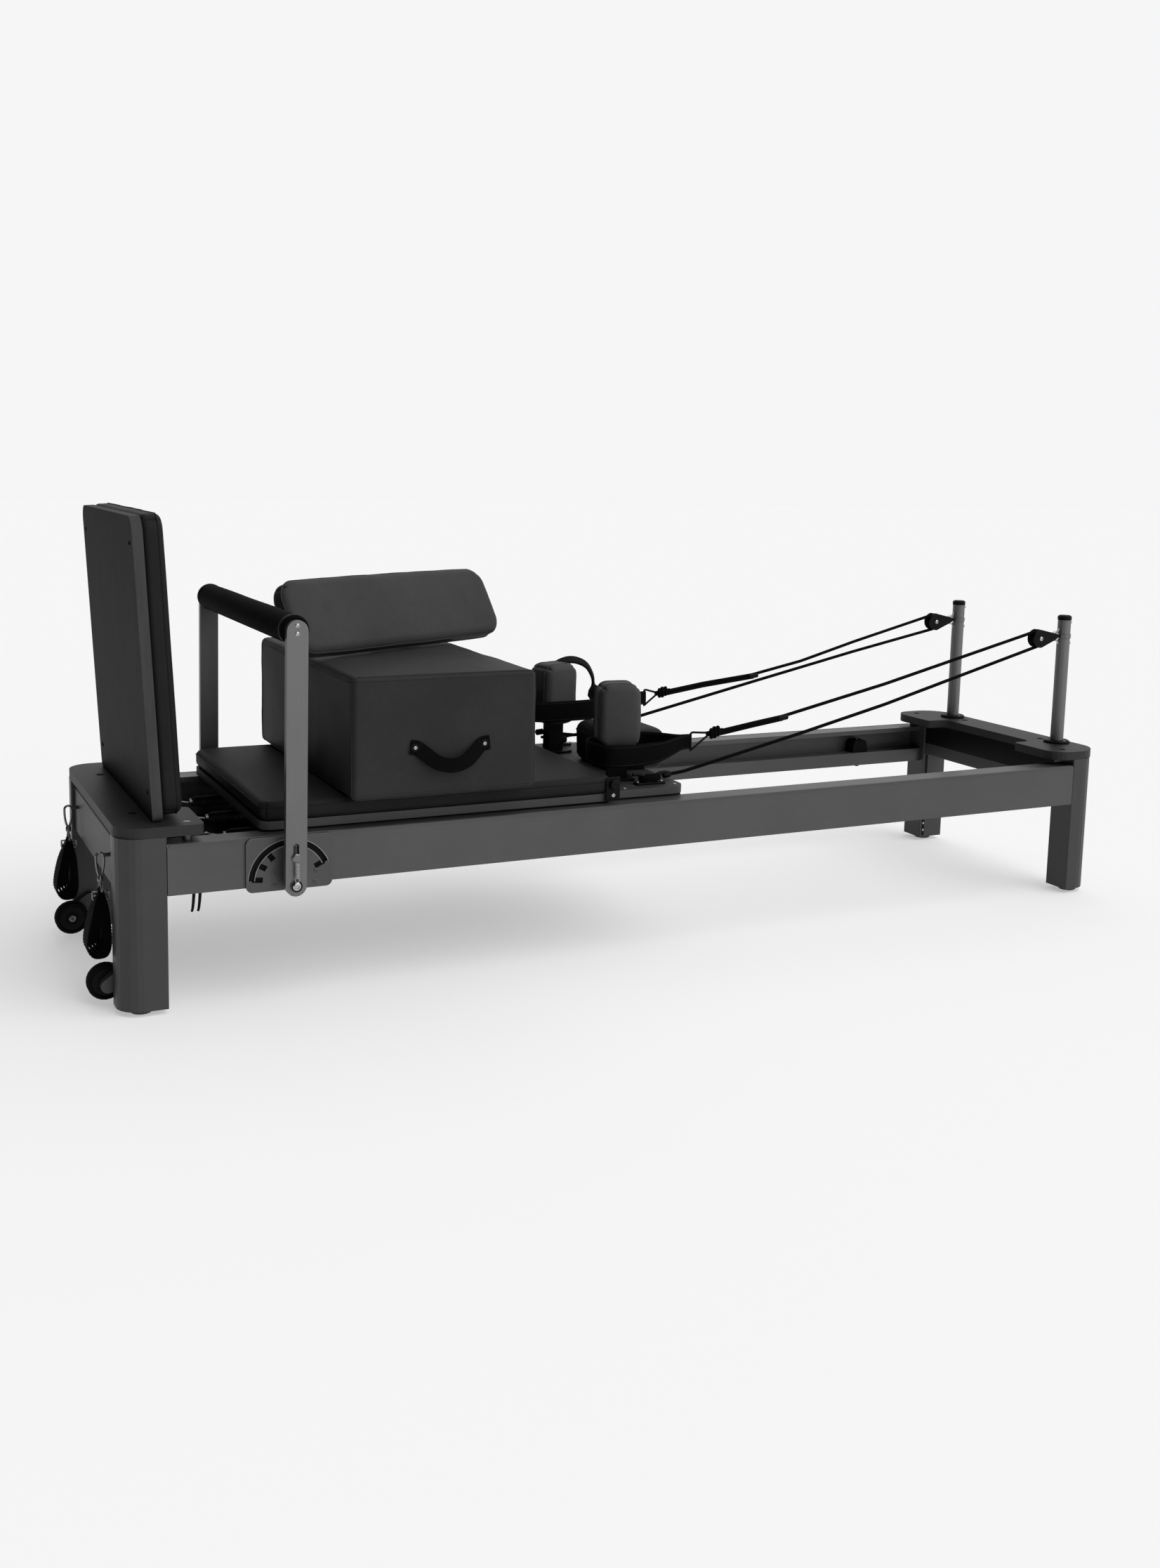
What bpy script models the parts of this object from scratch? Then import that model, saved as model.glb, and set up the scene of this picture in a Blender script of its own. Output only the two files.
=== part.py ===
"""Exercise reformer: long low frame with a rolling padded carriage, foot bar, jump board,
two risers with rope pulleys, sitting box and loose pad.

X runs along the frame (foot end at -X, pulley end at +X), Y across it, Z up, floor at Z = 0.
Sizes along X are counted from the inner face of the foot legs; SHIFT centres the whole on X = 0.
"""
import bpy
import bmesh
import math
from mathutils import Vector, Matrix

for old in list(bpy.data.objects):
    bpy.data.objects.remove(old)

# ---------------------------------------------------------------- driving sizes (metres)
SHIFT = -1.110             # from the foot legs' inner face to the middle of the whole object
GAP = 0.0003               # gap left between pieces that touch
HALF_W = 0.330             # half width over the rails
LEG_IN = 0.258             # half distance between the legs' inner faces
FOOT_LEG = 0.093           # size of the foot legs along X
HEAD_LEG = 0.078           # size of the head legs along X
LEG_LOW = 0.010            # underside of the legs, above their rubber feet
RAIL_LEN = 2.263           # clear distance between foot legs and head legs
RAIL_LOW = 0.233
RAIL_TOP = 0.3326
RAIL_T = 0.054             # rail width across Y
PLATE_LOW = 0.348          # end platforms
PLATE_TOP = 0.3686
PIVOT_X = 0.236            # foot bar pivot
PIVOT_Z = 0.242
BAR_Z = 0.739              # height of the foot bar's grip
ARM_IN = 0.366             # inner and outer faces of the foot bar's arms, from the middle
ARM_OUT = 0.380
BOARD_LOW = 0.3375         # carriage board
BOARD_TOP = 0.3545
PAD_TOP = 0.3930
AXLE_Z = 0.2930            # carriage roller axles
BOX_X = (0.358, 0.754)
BOX_HALF = 0.352
BOX_TOP = 0.640
PULLEY_X = 2.2315
PULLEY_Y = 0.207
PULLEY_Z = 0.6443
WRAP = 0.0199              # radius of the rope's centre line round a sheave
ROPE_R = 0.0042
RISER_X = 2.3175
RISER_R = 0.0165
RISER_TOP = 0.702
WHEEL = (-0.102, 0.225, 0.046)
EYE = (0.215, 0.295)       # Y and Z of the strap eyes on the foot beam
REST = (1.040, 0.170)      # X and Y of the shoulder rests' posts
LEAN = math.radians(-3.1)  # the jump board leans towards the foot end
SIDES = (("near", -1), ("far", 1))

parts = bpy.data.collections.new("reformer")
bpy.context.scene.collection.children.link(parts)
tools = bpy.data.collections.new("cutters")
bpy.context.scene.collection.children.link(tools)


def material(name, grey, rough, metal):
    m = bpy.data.materials.new(name)
    m.use_nodes = True
    shader = m.node_tree.nodes["Principled BSDF"]
    shader.inputs["Base Color"].default_value = (grey, grey, grey, 1.0)
    shader.inputs["Roughness"].default_value = rough
    shader.inputs["Metallic"].default_value = metal
    m.diffuse_color = (grey, grey, grey, 1.0)
    return m


ANOD = material("anodised_frame", 0.12, 0.45, 0.9)
STEEL = material("brushed_steel", 0.55, 0.35, 1.0)
VINYL = material("black_vinyl", 0.02, 0.5, 0.0)
BOARD = material("grey_board", 0.16, 0.6, 0.0)
PLATE = material("dark_plate", 0.05, 0.55, 0.0)
RUBBER = material("black_rubber", 0.02, 0.8, 0.0)
PLASTIC = material("black_plastic", 0.03, 0.45, 0.0)
WEB = material("black_webbing", 0.025, 0.85, 0.0)
ROPE = material("black_rope", 0.03, 0.8, 0.0)
SPRING = material("spring_steel", 0.4, 0.3, 1.0)


# ---------------------------------------------------------------- modelling helpers
def span(sign, a, b):
    """Limits a..b on one side of the middle plane, in rising order."""
    return (a, b) if sign > 0 else (-b, -a)


def arc(cx, cy, r, a0, a1, n):
    """Points on an arc, angles in degrees."""
    out = []
    for i in range(n + 1):
        a = math.radians(a0 + (a1 - a0) * i / n)
        out.append((cx + r * math.cos(a), cy + r * math.sin(a)))
    return out


def rounded(x0, y0, x1, y1, r, n=4):
    """Rectangle outline; r is one radius or four: low-low, high-low, high-high, low-high."""
    if not isinstance(r, tuple):
        r = (r, r, r, r)
    pts = arc(x0 + r[0], y0 + r[0], r[0], 180, 270, n)
    pts += arc(x1 - r[1], y0 + r[1], r[1], 270, 360, n)
    pts += arc(x1 - r[2], y1 - r[2], r[2], 0, 90, n)
    pts += arc(x0 + r[3], y1 - r[3], r[3], 90, 180, n)
    return pts


def link_bar(ax, ay, ra, bx, by, rb, n=8):
    """Outline round two circles, as on a flat bar or a teardrop plate."""
    d = math.degrees(math.atan2(by - ay, bx - ax))
    return arc(ax, ay, ra, d + 90, d + 270, n) + arc(bx, by, rb, d - 90, d + 90, n)


def finish(obj, mat):
    """Material, smooth shading and the parts' collection."""
    obj.data.materials.append(mat)
    parts.objects.link(obj)
    return obj


def flat(name, outline, axis, lo, hi, mat):
    """Outline filled as a 2D curve and extruded: z takes (x, y), y takes (x, z), x takes (y, z)."""
    curve = bpy.data.curves.new(name, "CURVE")
    curve.dimensions = "2D"
    curve.fill_mode = "BOTH"
    curve.extrude = (hi - lo) / 2
    spline = curve.splines.new("POLY")
    spline.points.add(len(outline) - 1)
    for point, (u, v) in zip(spline.points, outline):
        point.co = (u, v, 0.0, 1.0)
    spline.use_cyclic_u = True
    guide = bpy.data.objects.new(name + "_outline", curve)
    tools.objects.link(guide)
    graph = bpy.context.evaluated_depsgraph_get()
    mesh = bpy.data.meshes.new_from_object(guide.evaluated_get(graph))
    bpy.data.objects.remove(guide)
    bm = bmesh.new()
    bm.from_mesh(mesh)
    bmesh.ops.remove_doubles(bm, verts=bm.verts, dist=0.00001)
    bmesh.ops.recalc_face_normals(bm, faces=bm.faces)
    bm.to_mesh(mesh)
    bm.free()
    mesh.shade_smooth()
    mesh.set_sharp_from_angle(angle=math.radians(35))
    obj = bpy.data.objects.new(name, mesh)
    middle = (lo + hi) / 2
    if axis == "z":
        obj.location = (SHIFT, 0, middle)
    elif axis == "y":
        obj.location = (SHIFT, middle, 0)
        obj.rotation_euler = (math.radians(90), 0, 0)
    else:
        obj.location = (middle + SHIFT, 0, 0)
        obj.rotation_euler = (math.radians(90), 0, math.radians(90))
    return finish(obj, mat)


def turned(name, profile, centre, axis, mat, steps=24, bored=False):
    """Screw modifier on a profile of (radius, distance along the axis); bored keeps off the axis."""
    pts = list(profile)
    if not bored:
        pts = [(0.0, pts[0][1])] + pts + [(0.0, pts[-1][1])]
    area = 0.0
    for a, b in zip(pts, pts[1:] + pts[:1]):
        area += a[0] * b[1] - b[0] * a[1]
    if area > 0:
        pts.reverse()
    edges = [(i, i + 1) for i in range(len(pts) - 1)]
    if bored:
        edges.append((len(pts) - 1, 0))
    mesh = bpy.data.meshes.new(name)
    mesh.from_pydata([(r, 0.0, t) for r, t in pts], edges, [])
    obj = bpy.data.objects.new(name, mesh)
    obj.location = (centre[0] + SHIFT, centre[1], centre[2])
    obj.rotation_euler = {"z": (0, 0, 0), "y": (math.radians(-90), 0, 0), "x": (0, math.radians(90), 0)}[axis]
    screw = obj.modifiers.new("turn", "SCREW")
    screw.steps = steps
    screw.render_steps = steps
    screw.use_merge_vertices = True
    screw.merge_threshold = 0.00001
    screw.use_smooth_shade = True
    return finish(obj, mat)


def block(name, x, y, z, mat, round_by=0.0, segments=3):
    """Box between pairs of limits, with its edges rounded by a Bevel modifier."""
    mesh = bpy.data.meshes.new(name)
    bm = bmesh.new()
    bmesh.ops.create_cube(bm, size=1.0)
    bmesh.ops.scale(bm, vec=(x[1] - x[0], y[1] - y[0], z[1] - z[0]), verts=bm.verts)
    bm.to_mesh(mesh)
    bm.free()
    obj = bpy.data.objects.new(name, mesh)
    obj.location = ((x[0] + x[1]) / 2 + SHIFT, (y[0] + y[1]) / 2, (z[0] + z[1]) / 2)
    if round_by:
        bevel = obj.modifiers.new("round", "BEVEL")
        bevel.width = round_by
        bevel.segments = segments
        bevel.limit_method = "NONE"
        mesh.shade_smooth()
    return finish(obj, mat)


def tube(name, path, radii, mat):
    """Round bar or rope: a poly spline with a bevel, one radius per point."""
    curve = bpy.data.curves.new(name, "CURVE")
    curve.dimensions = "3D"
    curve.bevel_depth = 1.0
    curve.bevel_resolution = 2
    curve.use_fill_caps = True
    spline = curve.splines.new("POLY")
    spline.points.add(len(path) - 1)
    for point, place, radius in zip(spline.points, path, radii):
        point.co = (place[0], place[1], place[2], 1.0)
        point.radius = radius
    obj = bpy.data.objects.new(name, curve)
    obj.location = (SHIFT, 0, 0)
    return finish(obj, mat)


def strap(name, path, widths, thick, mat):
    """Flat webbing standing on edge along a path: an open strip with a Solidify modifier."""
    mesh = bpy.data.meshes.new(name)
    bm = bmesh.new()
    low = []
    rise = []
    for i, place in enumerate(path):
        ahead = Vector(path[min(i + 1, len(path) - 1)]) - Vector(path[max(i - 1, 0)])
        side = ahead.cross(Vector((0, 0, 1))).normalized()
        up = side.cross(ahead.normalized())
        low.append(bm.verts.new(Vector(place) - up * widths[i] / 2))
        rise.append(up * widths[i])
    line = [bm.edges.new((low[i], low[i + 1])) for i in range(len(low) - 1)]
    start = [v.co.copy() for v in low]
    raised = bmesh.ops.extrude_edge_only(bm, edges=line)["geom"]
    for v in [g for g in raised if isinstance(g, bmesh.types.BMVert)]:
        nearest = min(range(len(start)), key=lambda k: (start[k] - v.co).length)
        v.co += rise[nearest]
    bm.to_mesh(mesh)
    bm.free()
    obj = bpy.data.objects.new(name, mesh)
    obj.location = (SHIFT, 0, 0)
    solid = obj.modifiers.new("thickness", "SOLIDIFY")
    solid.thickness = thick
    solid.offset = 0.0
    solid.use_even_offset = True
    mesh.shade_smooth()
    return finish(obj, mat)


def smooth_path(points, steps):
    """Points along a smooth curve through the given points."""
    out = []
    last = len(points) - 1
    for i in range(last):
        p0 = Vector(points[max(i - 1, 0)])
        p1 = Vector(points[i])
        p2 = Vector(points[i + 1])
        p3 = Vector(points[min(i + 2, last)])
        for k in range(steps):
            t = k / steps
            bend = (p2 - p0) * t + (2 * p0 - 5 * p1 + 4 * p2 - p3) * t * t
            bend += (3 * p1 - p0 - 3 * p2 + p3) * t * t * t
            out.append(tuple(p1 + bend / 2))
    out.append(tuple(points[-1]))
    return out


def combine(obj, other, operation):
    """Boolean with a tool object, which moves to the cutters' collection."""
    parts.objects.unlink(other)
    tools.objects.link(other)
    other.hide_render = True
    other.display_type = "WIRE"
    mod = obj.modifiers.new(operation.lower(), "BOOLEAN")
    mod.operation = operation
    mod.solver = "EXACT"
    mod.object = other
    return other


def cut(obj, other):
    return combine(obj, other, "DIFFERENCE")


def join(obj, other):
    return combine(obj, other, "UNION")


def hub(name, at, carried, turn=(0, 0, 0)):
    """Empty on a moving body's joint axis, which carries that body's pieces."""
    empty = bpy.data.objects.new(name, None)
    empty.empty_display_size = 0.05
    empty.location = (at[0] + SHIFT, at[1], at[2])
    empty.rotation_euler = turn
    parts.objects.link(empty)
    for obj in carried:
        obj.parent = empty
        if turn == (0, 0, 0):
            obj.matrix_parent_inverse = Matrix.Translation(empty.location).inverted()
        else:
            obj.matrix_parent_inverse = Matrix.Translation((-SHIFT, 0, 0))
    return empty


def mount_hub(child, parent):
    """Let one hub ride on another without moving it."""
    child.parent = parent
    child.matrix_parent_inverse = Matrix.Translation(parent.location).inverted()


# ---------------------------------------------------------------- legs
def make_leg(end, side, sy):
    x0, x1 = (-FOOT_LEG, 0.0) if end == "foot" else (RAIL_LEN, RAIL_LEN + HEAD_LEG)
    y0, y1 = span(sy, LEG_IN, HALF_W)
    outer = {("foot", -1): 0, ("head", -1): 1, ("head", 1): 2, ("foot", 1): 3}[(end, sy)]
    radii = [0.003, 0.003, 0.003, 0.003]
    radii[outer] = 0.046
    leg = flat("leg_%s_%s" % (end, side), rounded(x0, y0, x1, y1, tuple(radii), 6), "z",
               LEG_LOW, PLATE_LOW - GAP, ANOD)
    centre = ((x0 + x1) / 2, (y0 + y1) / 2, 0)
    rubber = [(0.020, 0.0), (0.022, 0.002), (0.022, LEG_LOW + 0.004)]
    join(leg, turned("rubber_foot_%s_%s" % (end, side), rubber, centre, "z", RUBBER, 16))
    return leg


def add_wheel_bracket(leg, side, sy):
    """Teardrop bracket and axle stub on the inner face of a foot leg."""
    lo, hi = span(sy, LEG_IN - 0.0165, LEG_IN + 0.004)
    outline = link_bar(WHEEL[0], WHEEL[2], 0.014, -0.058, 0.078, 0.014)
    join(leg, flat("bracket_" + side, outline, "y", lo, hi, ANOD))
    lo, hi = span(sy, 0.2105, 0.246)
    join(leg, turned("axle_" + side, [(0.004, lo), (0.004, hi)], (WHEEL[0], 0, WHEEL[2]), "y", ANOD, 16))


for side, sy in SIDES:
    add_wheel_bracket(make_leg("foot", side, sy), side, sy)
    make_leg("head", side, sy)

# ---------------------------------------------------------------- rails and cross beams
LEDGE = 0.2685             # running surface of the rollers inside a rail
for side, sy in SIDES:
    inner, web = HALF_W - RAIL_T, HALF_W - 0.008
    prof = [(HALF_W, RAIL_LOW), (HALF_W, RAIL_TOP - 0.005), (HALF_W - 0.005, RAIL_TOP), (inner, RAIL_TOP),
            (inner, 0.3206), (web, 0.3206), (web, LEDGE), (inner, LEDGE), (inner, RAIL_LOW)]
    flat("rail_" + side, [(y * sy, z) for y, z in prof], "x", GAP, RAIL_LEN - GAP, ANOD)

beam = flat("crossbeam_foot", rounded(-0.085, RAIL_LOW, -0.030, RAIL_TOP, 0.003, 2), "y",
            -LEG_IN + GAP, LEG_IN - GAP, ANOD)
for side, sy in SIDES:
    join(beam, turned("eye_" + side, [(0.004, -0.100), (0.004, -0.080)], (0, sy * EYE[0], EYE[1]), "x",
                      STEEL, 12))
flat("crossbeam_head", rounded(RAIL_LEN + 0.003, 0.254, RAIL_LEN + 0.070, PLATE_LOW - GAP, 0.003, 2),
     "y", -LEG_IN + GAP, LEG_IN - GAP, ANOD)
tray = [(0.003, 0.2400), (0.330, 0.2400), (0.330, 0.2440), (0.098, 0.2440), (0.098, 0.2860), (0.094, 0.2900),
        (0.082, 0.2900), (0.078, 0.2860), (0.078, 0.2440), (0.003, 0.2440)]
flat("spring_bar", tray, "y", -(HALF_W - RAIL_T) + GAP, HALF_W - RAIL_T - GAP, STEEL)


# ---------------------------------------------------------------- end platforms
def mirrored(half):
    return half + [(x, -y) for x, y in reversed(half)]


half = arc(-0.093 + 0.055, -HALF_W + 0.055, 0.055, 180, 270, 8)
half += arc(0.072 - 0.012, -HALF_W + 0.012, 0.012, 270, 360, 3)
half += arc(0.072 - 0.012, -0.175 - 0.012, 0.012, 0, 90, 3)
half += [(0.048, -0.170)]
foot = flat("platform_foot", mirrored(half), "z", PLATE_LOW, PLATE_TOP, PLATE)
HEAD_END = RAIL_LEN + 0.095
EAR = 2.205                # where the head platform's ears begin
half = arc(HEAD_END - 0.072, -HALF_W + 0.072, 0.072, 0, -90, 8)
half += arc(EAR + 0.048, -HALF_W + 0.048, 0.048, 270, 180, 6)
half += arc(EAR + 0.010, -0.172 - 0.010, 0.010, 180, 90, 3)
half += arc(2.262 - 0.020, -0.172 + 0.020, 0.020, 270, 360, 4)
head = flat("platform_head", mirrored(half), "z", PLATE_LOW, PLATE_TOP, PLATE)
for plate, x, y in ((foot, 0.045, 0.295), (foot, -0.040, 0.195), (head, 2.257, 0.292), (head, 2.314, 0.150)):
    for side, sy in SIDES:
        tag = "%s_%d_%s" % (plate.name, round(x * 1000), side)
        centre = (x, sy * y, 0)
        bore = [(0.0085, 0.3635), (0.0085, 0.38)]
        if x == 0.045:
            bore = [(0.0045, 0.34), (0.0045, 0.3635)] + bore
        cut(plate, turned("bore_" + tag, bore, centre, "z", PLATE, 16))
        if x == 0.045:
            shank = [(0.009, RAIL_TOP + GAP), (0.009, PLATE_LOW - GAP), (0.004, PLATE_LOW - GAP),
                     (0.004, 0.3640), (0.0078, 0.3640), (0.0078, 0.3682)]
            turned("platform_bolt_" + side, shank, centre, "z", STEEL, 16)

# ---------------------------------------------------------------- jump board, in its own leaning frame
board = flat("jumpboard", rounded(-0.296, 0.0, 0.296, 0.583, (0.015, 0.015, 0.032, 0.032), 5), "x",
             0.0, 0.020, BOARD)
pad = block("jumpboard_pad", (0.0203, 0.060), (-0.290, 0.290), (0.006, 0.585), VINYL, 0.014)
leaning = [board, pad]
for sy in (-1, 1):
    for z in (0.050, 0.528):
        y = sy * 0.262 - 0.012
        outline = rounded(y, z, y + 0.024, z + 0.009, 0.004, 3)
        leaning.append(cut(board, flat("slot_%d_%d" % (sy, round(z * 1000)), outline, "x", -0.01, 0.012, BOARD)))
hub("jumpboard_hub", (-0.0195, 0, PLATE_TOP + GAP), leaning, (0, LEAN, 0))

# ---------------------------------------------------------------- foot bar
NOTCHES = (26, 64, 90, 127, 150, 174)      # degrees round the pivot
SLOT_IN, SLOT_OUT = 0.0715, 0.0835
PIN_Z = PIVOT_Z + 0.056
arms = []
pins = []
for side, sy in SIDES:
    lo, hi = span(sy, HALF_W + GAP, HALF_W + 0.0063)
    quad = flat("quadrant_" + side, rounded(0.149, 0.224, 0.321, 0.3320, 0.012, 4), "y", lo, hi, STEEL)
    lo, hi = span(sy, HALF_W - 0.01, HALF_W + 0.02)
    cut(quad, turned("pivot_hole_" + side, [(0.0085, lo), (0.0085, hi)], (PIVOT_X, 0, PIVOT_Z), "y", STEEL, 20))
    slot = arc(PIVOT_X, PIVOT_Z, SLOT_OUT, 24, 176, 22) + arc(PIVOT_X, PIVOT_Z, SLOT_IN, 176, 24, 22)
    cut(quad, flat("arc_slot_" + side, slot, "y", lo, hi, STEEL))
    for angle in NOTCHES:
        ux, uz = math.cos(math.radians(angle)), math.sin(math.radians(angle))
        pts = []
        for reach, half_width in ((0.055, -0.0055), (0.076, -0.0055), (0.076, 0.0055), (0.055, 0.0055)):
            pts.append((PIVOT_X + reach * ux - half_width * uz, PIVOT_Z + reach * uz + half_width * ux))
        cut(quad, flat("notch_%s_%d" % (side, angle), pts, "y", lo, hi, STEEL))

    outline = link_bar(PIVOT_X, PIVOT_Z, 0.021, PIVOT_X + 0.004, BAR_Z, 0.021, 10)
    lo, hi = span(sy, ARM_IN, ARM_OUT)
    arm = flat("footbar_arm_" + side, outline, "y", lo, hi, STEEL)
    for tag, radius, a, b in (("stub", 0.0080, HALF_W + 0.0006, ARM_IN + 0.002),
                              ("spacer", 0.0140, HALF_W + 0.0070, ARM_IN + 0.002),
                              ("cap", 0.0120, ARM_OUT - 0.002, ARM_OUT + 0.004)):
        lo, hi = span(sy, a, b)
        arms.append(join(arm, turned(tag + "_" + side, [(radius, lo), (radius, hi)],
                                     (PIVOT_X, 0, PIVOT_Z), "y", STEEL, 20)))
    outline = arc(PIVOT_X, PIN_Z, 0.0058, 180, 360, 8) + arc(PIVOT_X, PIN_Z + 0.0225, 0.0058, 0, 180, 8)
    lo, hi = span(sy, ARM_IN - 0.01, ARM_OUT + 0.01)
    arms.append(cut(arm, flat("pin_slot_" + side, outline, "y", lo, hi, STEEL)))
    arms.append(arm)
    pin = [(0.0055, HALF_W + 0.0069), (0.0055, ARM_OUT + 0.0004), (0.009, ARM_OUT + 0.0004),
           (0.009, ARM_OUT + 0.0046), (0.007, ARM_OUT + 0.0060)]
    pins.append(turned("lock_pin_" + side, [(r, t * sy) for r, t in pin], (PIVOT_X, 0, PIN_Z), "y", STEEL, 16))
grip_end = ARM_IN - GAP
grip = [(0.025, -grip_end), (0.029, -grip_end + 0.004), (0.029, grip_end - 0.004), (0.025, grip_end)]
arms.append(turned("footbar_grip", grip, (PIVOT_X + 0.004, 0, BAR_Z), "y", VINYL, 24))
footbar_hub = hub("footbar_hub", (PIVOT_X, 0, PIVOT_Z), arms)
for pin in pins:
    pin.parent = footbar_hub
    pin.matrix_parent_inverse = Matrix.Translation(footbar_hub.location).inverted()

# ---------------------------------------------------------------- transport wheels
tread = [(0.0045, -0.011), (0.014, -0.012), (0.014, -0.009), (0.028, -0.009), (0.030, -0.012),
         (0.0335, -0.012), (0.036, -0.008), (0.036, 0.008), (0.0335, 0.012), (0.030, 0.012),
         (0.028, 0.009), (0.014, 0.009), (0.014, 0.012), (0.0045, 0.011)]
for side, sy in SIDES:
    centre = (WHEEL[0], sy * WHEEL[1], WHEEL[2])
    turned("transport_wheel_" + side, tread, centre, "y", RUBBER, 24, bored=True)

# ---------------------------------------------------------------- carriage
half = arc(0.187 + 0.025, -0.300 + 0.025, 0.025, 180, 270, 6)
half += arc(0.965 - 0.015, -0.300 + 0.015, 0.015, 270, 360, 3)
half += [(0.965, -0.284)]
half += arc(1.158 - 0.030, -0.284 + 0.030, 0.030, 270, 360, 5)
deck = flat("carriage_board", mirrored(half), "z", BOARD_LOW, BOARD_TOP, BOARD)
carried = [deck]
for side, sy in SIDES:
    runner = block("runner_" + side, (0.245, 0.925), span(sy, 0.244, 0.268), (0.2860, 0.3450), BOARD)
    carried.append(join(deck, runner))
    for tag, x in (("foot", 0.280), ("head", 0.890)):
        lo, hi = span(sy, 0.250, 0.3120)
        axle = turned("axle_%s_%s" % (tag, side), [(0.004, lo), (0.004, hi)], (x, 0, AXLE_Z), "y", STEEL, 16)
        carried.append(join(deck, axle))
        tyre = [(0.0044, -0.011), (0.0222, -0.011), (0.0240, -0.009), (0.0240, 0.009),
                (0.0222, 0.011), (0.0044, 0.011)]
        carried.append(turned("roller_%s_%s" % (tag, side), tyre, (x, sy * 0.296, AXLE_Z), "y",
                              PLASTIC, 24, bored=True))
carried.append(join(deck, block("anchor", (0.800, 0.822), (-0.250, 0.250), (0.2860, 0.3450), BOARD)))
cushion = flat("carriage_pad", rounded(0.187, -0.306, 0.963, 0.306, 0.028, 6), "z",
               BOARD_TOP + GAP, PAD_TOP, VINYL)
edge = cushion.modifiers.new("round", "BEVEL")
edge.width = 0.006
edge.segments = 2
edge.limit_method = "ANGLE"
edge.angle_limit = math.radians(60)
carried.append(cushion)
coil = [(0.004, 0.104), (0.004, 0.130), (0.0125, 0.145), (0.0125, 0.755), (0.004, 0.770), (0.004, 0.7997)]
for k, y in enumerate((-0.16, 0.0, 0.16)):
    carried.append(turned("spring_%d" % (k + 1), coil, (0, y, 0.300), "x", SPRING, 12))

# ---------------------------------------------------------------- headrest and shoulder rests
head_pad = block("headrest", (1.060, 1.212), (-0.098, 0.098), (BOARD_TOP + GAP, 0.445), VINYL, 0.016)
headrest_hub = hub("headrest_hub", (1.060, 0, BOARD_TOP), [head_pad])
rest_hubs = []
for side, sy in SIDES:
    pad = block("shoulder_rest_" + side, (-0.043, 0.043), (-0.038, 0.038), (0.0775, 0.2195), VINYL, 0.018)
    post = block("rest_post_" + side, (-0.036, 0.036), (-0.030, 0.030), (GAP, 0.0055), PLASTIC)
    neck = block("rest_neck_" + side, (-0.022, 0.022), (-0.012, 0.012), (0.003, 0.0772), PLASTIC)
    join(post, neck)
    rest_hubs.append(hub("rest_hub_" + side, (REST[0], sy * REST[1], BOARD_TOP), [pad, post, neck],
                         (0, 0, math.radians(14) * sy)))

# ---------------------------------------------------------------- carriage stops on the rails' ledges
for side, sy in SIDES:
    lo, hi = span(sy, 0.282, 0.318)
    wedge = [(2.030, LEDGE + GAP), (2.082, LEDGE + GAP), (2.076, 0.3000), (2.070, 0.3030), (2.042, 0.3030),
             (2.036, 0.3000)]
    flat("carriage_stop_" + side, wedge, "y", lo, hi, RUBBER)

# ---------------------------------------------------------------- risers and pulleys
for side, sy in SIDES:
    y = sy * PULLEY_Y
    z0 = PLATE_TOP + GAP
    bore = RISER_R + GAP
    collar = [(bore, z0), (0.033, z0), (0.033, z0 + 0.004), (0.029, z0 + 0.007), (bore, z0 + 0.007)]
    turned("riser_collar_" + side, collar, (RISER_X, y, 0), "z", PLASTIC, 24, bored=True)
    post = [(RISER_R, z0), (RISER_R, RISER_TOP - 0.0123)]
    turned("riser_" + side, post, (RISER_X, y, 0), "z", STEEL, 24)
    cap = [(RISER_R + 0.001, RISER_TOP - 0.012), (RISER_R + 0.001, RISER_TOP - 0.003), (0.0135, RISER_TOP)]
    turned("riser_cap_" + side, cap, (RISER_X, y, 0), "z", PLASTIC, 24)

    lo, hi = y - 0.0125, y + 0.0125
    cheeks = link_bar(PULLEY_X, PULLEY_Z, 0.0235, PULLEY_X + 0.045, PULLEY_Z + 0.004, 0.009, 10)
    shell = flat("pulley_housing_" + side, cheeks, "y", lo, hi, PLASTIC)
    room = [(0.0262, y - 0.0085), (0.0262, y + 0.0085)]
    cut(shell, turned("room_" + side, room, (PULLEY_X, 0, PULLEY_Z), "y", PLASTIC, 24))
    axle = [(0.004, y - 0.0120), (0.004, y + 0.0120)]
    join(shell, turned("pin_" + side, axle, (PULLEY_X, 0, PULLEY_Z), "y", STEEL, 16))
    bolt = [(0.005, PULLEY_X + 0.045), (0.005, RISER_X - RISER_R - GAP)]
    join(shell, turned("eye_bolt_" + side, bolt, (0, y, PULLEY_Z + 0.004), "x", STEEL, 12))
    sheave = [(0.0044, -0.007), (0.0212, -0.007), (0.0154, -0.0043), (0.0154, 0.0043),
              (0.0212, 0.007), (0.0044, 0.007)]
    turned("pulley_sheave_" + side, sheave, (PULLEY_X, y, PULLEY_Z), "y", PLASTIC, 24, bored=True)

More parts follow.
